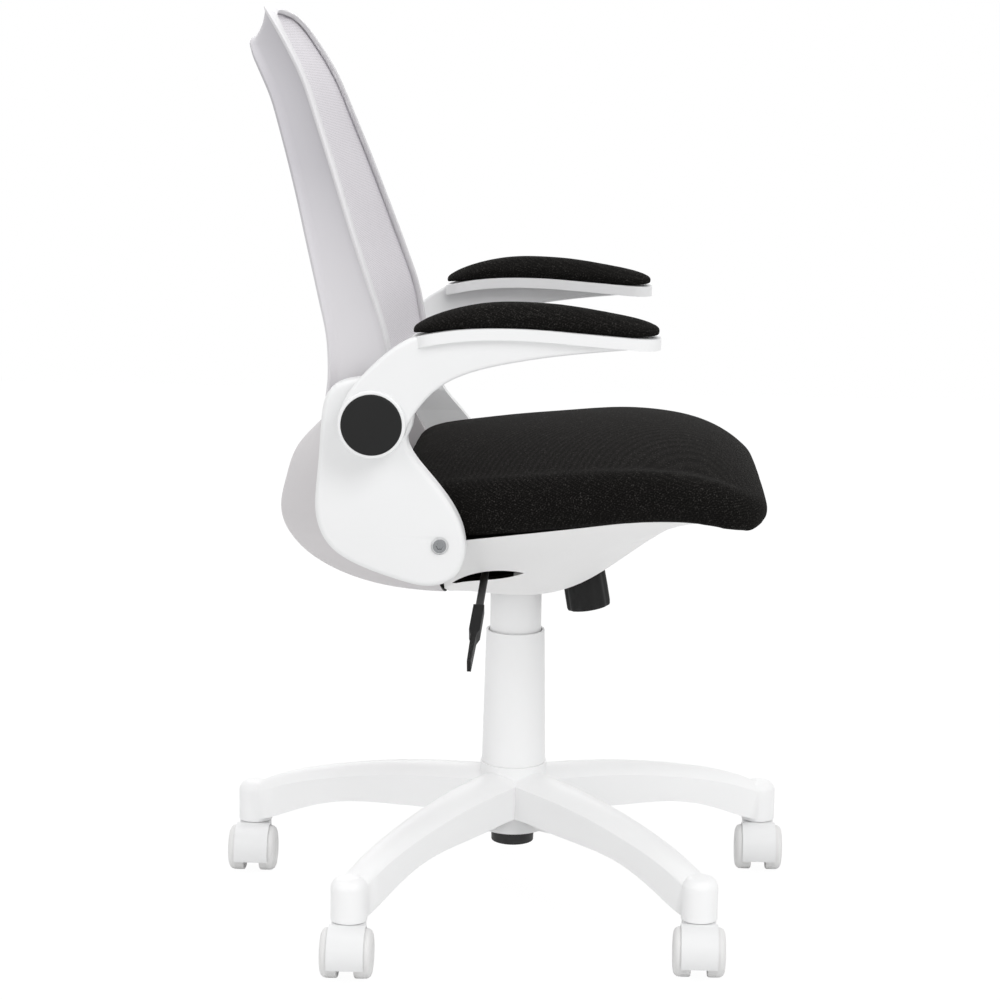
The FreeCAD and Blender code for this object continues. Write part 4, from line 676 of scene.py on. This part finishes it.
def make_wheel(node, side):
    """Nylon wheel: ribs across the inner half of the tread, a rounded shoulder, a dished face."""
    low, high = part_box(node)
    radius = (high.z - low.z) / 2
    width = high.y - low.y
    inner = low.y if side > 0 else high.y
    centre = Vector(((low.x + high.x) / 2, inner, (low.z + high.z) / 2))
    axis = Vector((0.0, side, 0.0))
    profile = (
        (0.0046, 0.0006),
        (0.35 * radius, 0.0),
        (0.62 * radius, 0.0),
        (0.66 * radius, 0.0012),
        (0.80 * radius, 0.0012),
        (0.84 * radius, 0.0),
        (radius - 0.0012, 0.0),
        (radius - 0.0002, 0.0008),
        (radius, 0.0020),
        (radius, 0.42 * width),
        (radius, 0.47 * width),
        (radius - 0.0001, 0.66 * width),
        (radius - 0.0008, 0.78 * width),
        (radius - 0.0024, 0.89 * width),
        (radius - 0.0050, 0.96 * width),
        (radius - 0.0085, 0.99 * width),
        (0.52 * radius, width),
        (0.48 * radius, width - 0.0006),
        (0.15 * radius, width - 0.0008),
        (0.0, width - 0.0008),
    )
    shape = bmesh.new()
    lathe(shape, profile, centre, axis, WHEEL_STEPS)
    for vert in shape.verts:
        offset = vert.co - centre
        along = offset.dot(axis)
        flat = offset - axis * along
        step = round(math.atan2(flat.z, flat.x) / FULL_TURN * WHEEL_STEPS)
        on_tread = flat.length > radius - RIB_REACH and RIB_START < along < RIB_END * width
        if on_tread and step % RIB_STEPS < RIB_STEPS / 2:
            vert.co -= flat.normalized() * RIB_DEPTH
    piece = new_piece(f"{node}_nylon", shape, WHEEL_WHITE, node)
    shade_smooth(piece, WHEEL_CREASE)


KNOB_FOOT = Vector((0.0, -0.079, 0.321))
KNOB_LEAN = math.radians(10.0)
KNOB_RADIUS = 0.024
KNOB_PROFILE = (
    # radius, height above the foot
    (0.0, 0.0010),
    (0.45 * KNOB_RADIUS, 0.0010),
    (0.50 * KNOB_RADIUS, 0.0),
    (KNOB_RADIUS - 0.0030, 0.0),
    (KNOB_RADIUS - 0.0012, 0.0005),
    (KNOB_RADIUS - 0.0003, 0.0018),
    (KNOB_RADIUS, 0.0040),
    (KNOB_RADIUS, 0.0200),
    (KNOB_RADIUS - 0.0004, 0.0365),
    (KNOB_RADIUS - 0.0010, 0.0378),
    (KNOB_RADIUS - 0.0020, 0.0380),
    (KNOB_RADIUS - 0.0030, 0.0372),
    (KNOB_RADIUS - 0.0030, 0.0082),
    (0.0056, 0.0082),
    (0.0056, 0.0046),
    (0.0, 0.0046),
)
KNOB_FLATS = 12
KNOB_FLAT_DEPTH = 0.0011
# how deep below its outermost radius the knob's side still gets flats
KNOB_FLAT_REACH = 0.0022
KNOB_STEPS = 144
KNOB_CREASE = 40


def make_knob():
    """Black tension knob: a tapered cup with shallow flats round its side."""
    axis = Vector((0.0, math.sin(KNOB_LEAN), math.cos(KNOB_LEAN)))
    side = axis.cross(ACROSS)
    shape = bmesh.new()
    lathe(shape, KNOB_PROFILE, KNOB_FOOT, axis, KNOB_STEPS)
    for vert in shape.verts:
        offset = vert.co - KNOB_FOOT
        flat = offset - axis * offset.dot(axis)
        if flat.length > KNOB_RADIUS - KNOB_FLAT_REACH:
            turn = math.atan2(flat.dot(side), flat.x)
            wave = 0.5 + 0.5 * math.cos(KNOB_FLATS * turn)
            vert.co -= flat.normalized() * KNOB_FLAT_DEPTH * wave
    piece = new_piece("knob_moulding", shape, BLACK, "tension_knob")
    shade_smooth(piece, KNOB_CREASE)


PADDING_FRAMES = 20


def apply_modifiers(piece):
    depsgraph = bpy.context.evaluated_depsgraph_get()
    mesh = bpy.data.meshes.new_from_object(piece.evaluated_get(depsgraph))
    piece.modifiers.clear()
    piece.data = mesh


def smooth_skin(piece, rounds):
    shape = bmesh.new()
    shape.from_mesh(piece.data)
    for _ in range(rounds):
        bmesh.ops.smooth_vert(
            shape, verts=shape.verts, factor=0.5, use_axis_x=True, use_axis_y=True, use_axis_z=True
        )
    shape.to_mesh(piece.data)
    shape.free()


def simulate_padding(piece, pressure, cap):
    """Blows the cloth up a little against its stitching, and caps how far it moves."""
    before = [vertex.co.copy() for vertex in piece.data.vertices]
    cloth = piece.modifiers.new("stuffing", "CLOTH")
    settings = cloth.settings
    settings.use_pressure = True
    settings.uniform_pressure_force = pressure
    settings.effector_weights.gravity = 0.0
    settings.mass = 0.25
    settings.tension_stiffness = 25.0
    settings.compression_stiffness = 25.0
    settings.bending_stiffness = 1.5
    settings.quality = 4
    for number in range(1, PADDING_FRAMES + 1):
        scene.frame_set(number)
    depsgraph = bpy.context.evaluated_depsgraph_get()
    swollen = piece.evaluated_get(depsgraph).data
    after = [vertex.co.copy() for vertex in swollen.vertices]
    piece.modifiers.remove(cloth)
    scene.frame_set(1)
    for vertex, start, end in zip(piece.data.vertices, before, after):
        move = end - start
        if move.length > cap:
            move = move.normalized() * cap
        vertex.co = start + move


def padded_piece(node, voxel, swell, pressure, cap):
    """Foam under stretched cloth, grown from the node's form."""
    shape = solid_of(node)
    low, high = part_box(node)
    centre = (low + high) / 2
    factors = Vector([1 + 2 * swell / side for side in high - low])
    bmesh.ops.scale(shape, vec=factors, space=Matrix.Translation(-centre), verts=shape.verts)
    piece = new_piece(f"{node}_cover", shape, CLOTH, node)
    remesh = piece.modifiers.new("even", "REMESH")
    remesh.mode = "VOXEL"
    remesh.voxel_size = voxel
    apply_modifiers(piece)
    smooth_skin(piece, 1)
    simulate_padding(piece, pressure, cap)
    smooth_skin(piece, 2)
    finer = piece.modifiers.new("finer", "SUBSURF")
    finer.levels = 1
    finer.render_levels = 1
    shade_smooth(piece, 180)
    piece.data.materials.clear()
    piece.data.materials.append(CLOTH)


# a face of the panel belongs to its front when its normal's backward part is no larger
MESH_FRONT = -0.3
MESH_CREASE = 60


def make_mesh_panel():
    """The front skin of the panel, one cloth thick, cut from the node's own sheet."""
    shape = solid_of("back_mesh")
    shape.normal_update()
    rest = [face for face in shape.faces if face.normal.y > MESH_FRONT]
    bmesh.ops.delete(shape, geom=rest, context="FACES")
    area = sum(face.calc_area() for face in shape.faces)
    low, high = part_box("back_mesh")
    piece = new_piece("mesh_panel", shape, MESH, "back_mesh")
    shade_smooth(piece, MESH_CREASE)
    width = high.x - low.x
    flat = (width, area / width)


# height below which the back carrier's inner faces get black painted shade
INNER_SHADE_TOP = 0.425
# corners of the black box of painted shade inside the hull
SHADE_BOX_LOW = Vector((-0.047, -0.035, 0.351))
SHADE_BOX_HIGH = Vector((-0.045, 0.066, 0.398))
# a face of the board belongs to its underside when its normal's upward part is no larger
BOARD_UNDERSIDE = -0.8
# slots and nodes whose pieces are made by functions of their own
OWN_SLOTS = ("grey_plastic", "black_fabric", "mesh_fabric")
OWN_PIECES = ("back_frame", "tension_knob", "tension_spring")


def paint_inner_shade(piece, ceiling):
    """Paints a hull's inner faces below a height black: painted shade in the hollow that shows at the
    lever.
    """
    low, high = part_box("seat_shell")
    middle = Vector((0.0, (low.y + high.y) / 2, high.z))

    def faces_inward(face):
        return face.center.z < ceiling and face.normal.dot(face.center - middle) < 0

    give_second(piece, BLACK, faces_inward)


def paint_shade_box(piece):
    """A black box inside the hull, under the lever, between its opening and the column: painted shade
    where the opening shows only shadow.
    """
    shape = bmesh.new()
    shape.from_mesh(piece.data)
    middle = (SHADE_BOX_LOW + SHADE_BOX_HIGH) / 2
    place = Matrix.LocRotScale(middle, None, SHADE_BOX_HIGH - SHADE_BOX_LOW)
    shade_box = bmesh.ops.create_cube(shape, size=1.0, matrix=place)
    for corner in shade_box["verts"]:
        for face in corner.link_faces:
            face.material_index = SECOND
    shape.to_mesh(piece.data)
    shape.free()


def wrap_board(piece):
    """Pulls the cover's cloth down round the seat board, so only its underside shows the wood."""
    give_second(piece, CLOTH, lambda face: face.normal.z > BOARD_UNDERSIDE)


def make_mouldings():
    """Every rigid node that has no piece of its own."""
    for node, slot in node_slots.items():
        if slot in OWN_SLOTS or node in OWN_PIECES:
            continue
        piece = moulded_copy(node, NODE_MATERIALS.get(node, SLOT_MATERIALS[slot]))
        # the hollows of the hull and of the carrier get black painted shade
        if node == "seat_shell":
            paint_inner_shade(piece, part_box(node)[1].z)
            # a black box of painted shade fills the hull's opening
            paint_shade_box(piece)
        if node == "back_carrier":
            paint_inner_shade(piece, INNER_SHADE_TOP)
        if node == "seat_board":
            wrap_board(piece)


SPRING_CREASE = 40


def make_spring():
    """The coil, as a loose piece that follows no body, with its placement baked into its mesh."""
    piece = loose_piece("tension_coil", solid_of("tension_spring"), STEEL, "tension_spring")
    shade_smooth(piece, SPRING_CREASE)
    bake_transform(piece)


SENSOR_MM = 36.0
FOCAL_MM = 90.94
CAMERA_PLACE = Vector((-2.6653, -0.0861, 0.9227))
CAMERA_YAW = math.radians(2.2576)
CAMERA_PITCH = math.radians(10.3413)
CAMERA_ROLL = math.radians(0.8509)


def look_along(location, yaw, pitch, roll):
    """World matrix of a camera that looks along +X turned by yaw, down by pitch, rolled."""
    level = math.cos(pitch)
    forward = Vector((math.cos(yaw) * level, math.sin(yaw) * level, -math.sin(pitch)))
    right = Vector((math.sin(yaw), -math.cos(yaw), 0.0))
    up = right.cross(forward)
    rolled_right = right * math.cos(roll) + up * math.sin(roll)
    rolled_up = up * math.cos(roll) - right * math.sin(roll)
    turn = Matrix((rolled_right, rolled_up, -forward)).transposed().to_4x4()
    return Matrix.Translation(location) @ turn


def make_camera():
    lens = bpy.data.cameras.new("camera")
    lens.sensor_width = SENSOR_MM
    lens.lens = FOCAL_MM
    camera = bpy.data.objects.new("camera", lens)
    scene.collection.objects.link(camera)
    camera.matrix_world = look_along(CAMERA_PLACE, CAMERA_YAW, CAMERA_PITCH, CAMERA_ROLL)
    scene.camera = camera


LAMPS = (
    # name, place, height that it points at, side, power
    ("key", (-2.2, -1.6, 2.6), 0.5, 1.6, 38),
    ("fill", (-2.4, 2.0, 1.4), 0.5, 1.8, 14),
    ("top", (0.3, 0.2, 3.2), 0.4, 2.2, 30),
    ("back", (2.4, 0.6, 1.8), 0.6, 1.6, 14),
)
SKY_LIGHT = 0.62
FLOOR_HALF = 4.0
FLOOR_GLOW = 0.93
FLOOR_STRENGTH = 1.04


def make_lamp(name, place, aim_height, side, power):
    """A square lamp that points at the chair's middle line."""
    lamp = bpy.data.lights.new(name, "AREA")
    lamp.shape = "SQUARE"
    lamp.size = side
    lamp.energy = power
    light = bpy.data.objects.new(name, lamp)
    scene.collection.objects.link(light)
    light.location = place
    aim = Vector((0.0, 0.0, aim_height)) - Vector(place)
    light.rotation_euler = aim.to_track_quat("-Z", "Y").to_euler()


def make_sky():
    """White all round: full where it is seen, weaker where it lights the chair."""
    world = bpy.data.worlds.new("studio")
    scene.world = world
    sky = Shader(world, "Background")
    seen = sky.ray("Is Camera Ray")
    for kind in ("Is Glossy Ray", "Is Transmission Ray"):
        seen = seen.larger(sky.ray(kind))
    sky.set(Color=grey(1.0), Strength=seen * (1.0 - SKY_LIGHT) + SKY_LIGHT)


def make_floor():
    """A pale floor, which glows for the camera so that it ends in white."""
    shape = bmesh.new()
    bmesh.ops.create_grid(shape, x_segments=2, y_segments=2, size=FLOOR_HALF)
    mesh = bpy.data.meshes.new("floor")
    shape.to_mesh(mesh)
    shape.free()
    floor = bpy.data.objects.new("floor", mesh)
    scene.collection.objects.link(floor)
    shader = new_material("floor")
    shader.set(Base_Color=grey(0.8), Roughness=0.8)
    light = {"Color": grey(1.0), "Strength": FLOOR_STRENGTH}
    glow = shader.node("ShaderNodeEmission", None, light)
    lit = Value(shader, shader.surface.outputs[0])
    share = shader.ray("Is Camera Ray") * FLOOR_GLOW
    mixed = shader.node("ShaderNodeMixShader", None, [share, lit, glow])
    shader.feed(shader.tree.nodes["Material Output"].inputs["Surface"], mixed)
    mesh.materials.append(shader.owner)


make_mouldings()
make_back_frame()
make_knob()
make_spring()
for number in range(1, CASTERS + 1):
    make_wheel(f"caster_{number}_wheel_rear", 1.0)
    make_wheel(f"caster_{number}_wheel_front", -1.0)
padded_piece("seat_cushion", voxel=0.005, swell=0.0015, pressure=2.0, cap=0.0015)
padded_piece("arm_pad_right", voxel=0.003, swell=0.0, pressure=4.0, cap=0.002)
padded_piece("arm_pad_left", voxel=0.003, swell=0.0, pressure=4.0, cap=0.002)
make_mesh_panel()
make_camera()
for lamp_setting in LAMPS:
    make_lamp(*lamp_setting)
make_sky()
make_floor()
scene.view_settings.view_transform = "Standard"
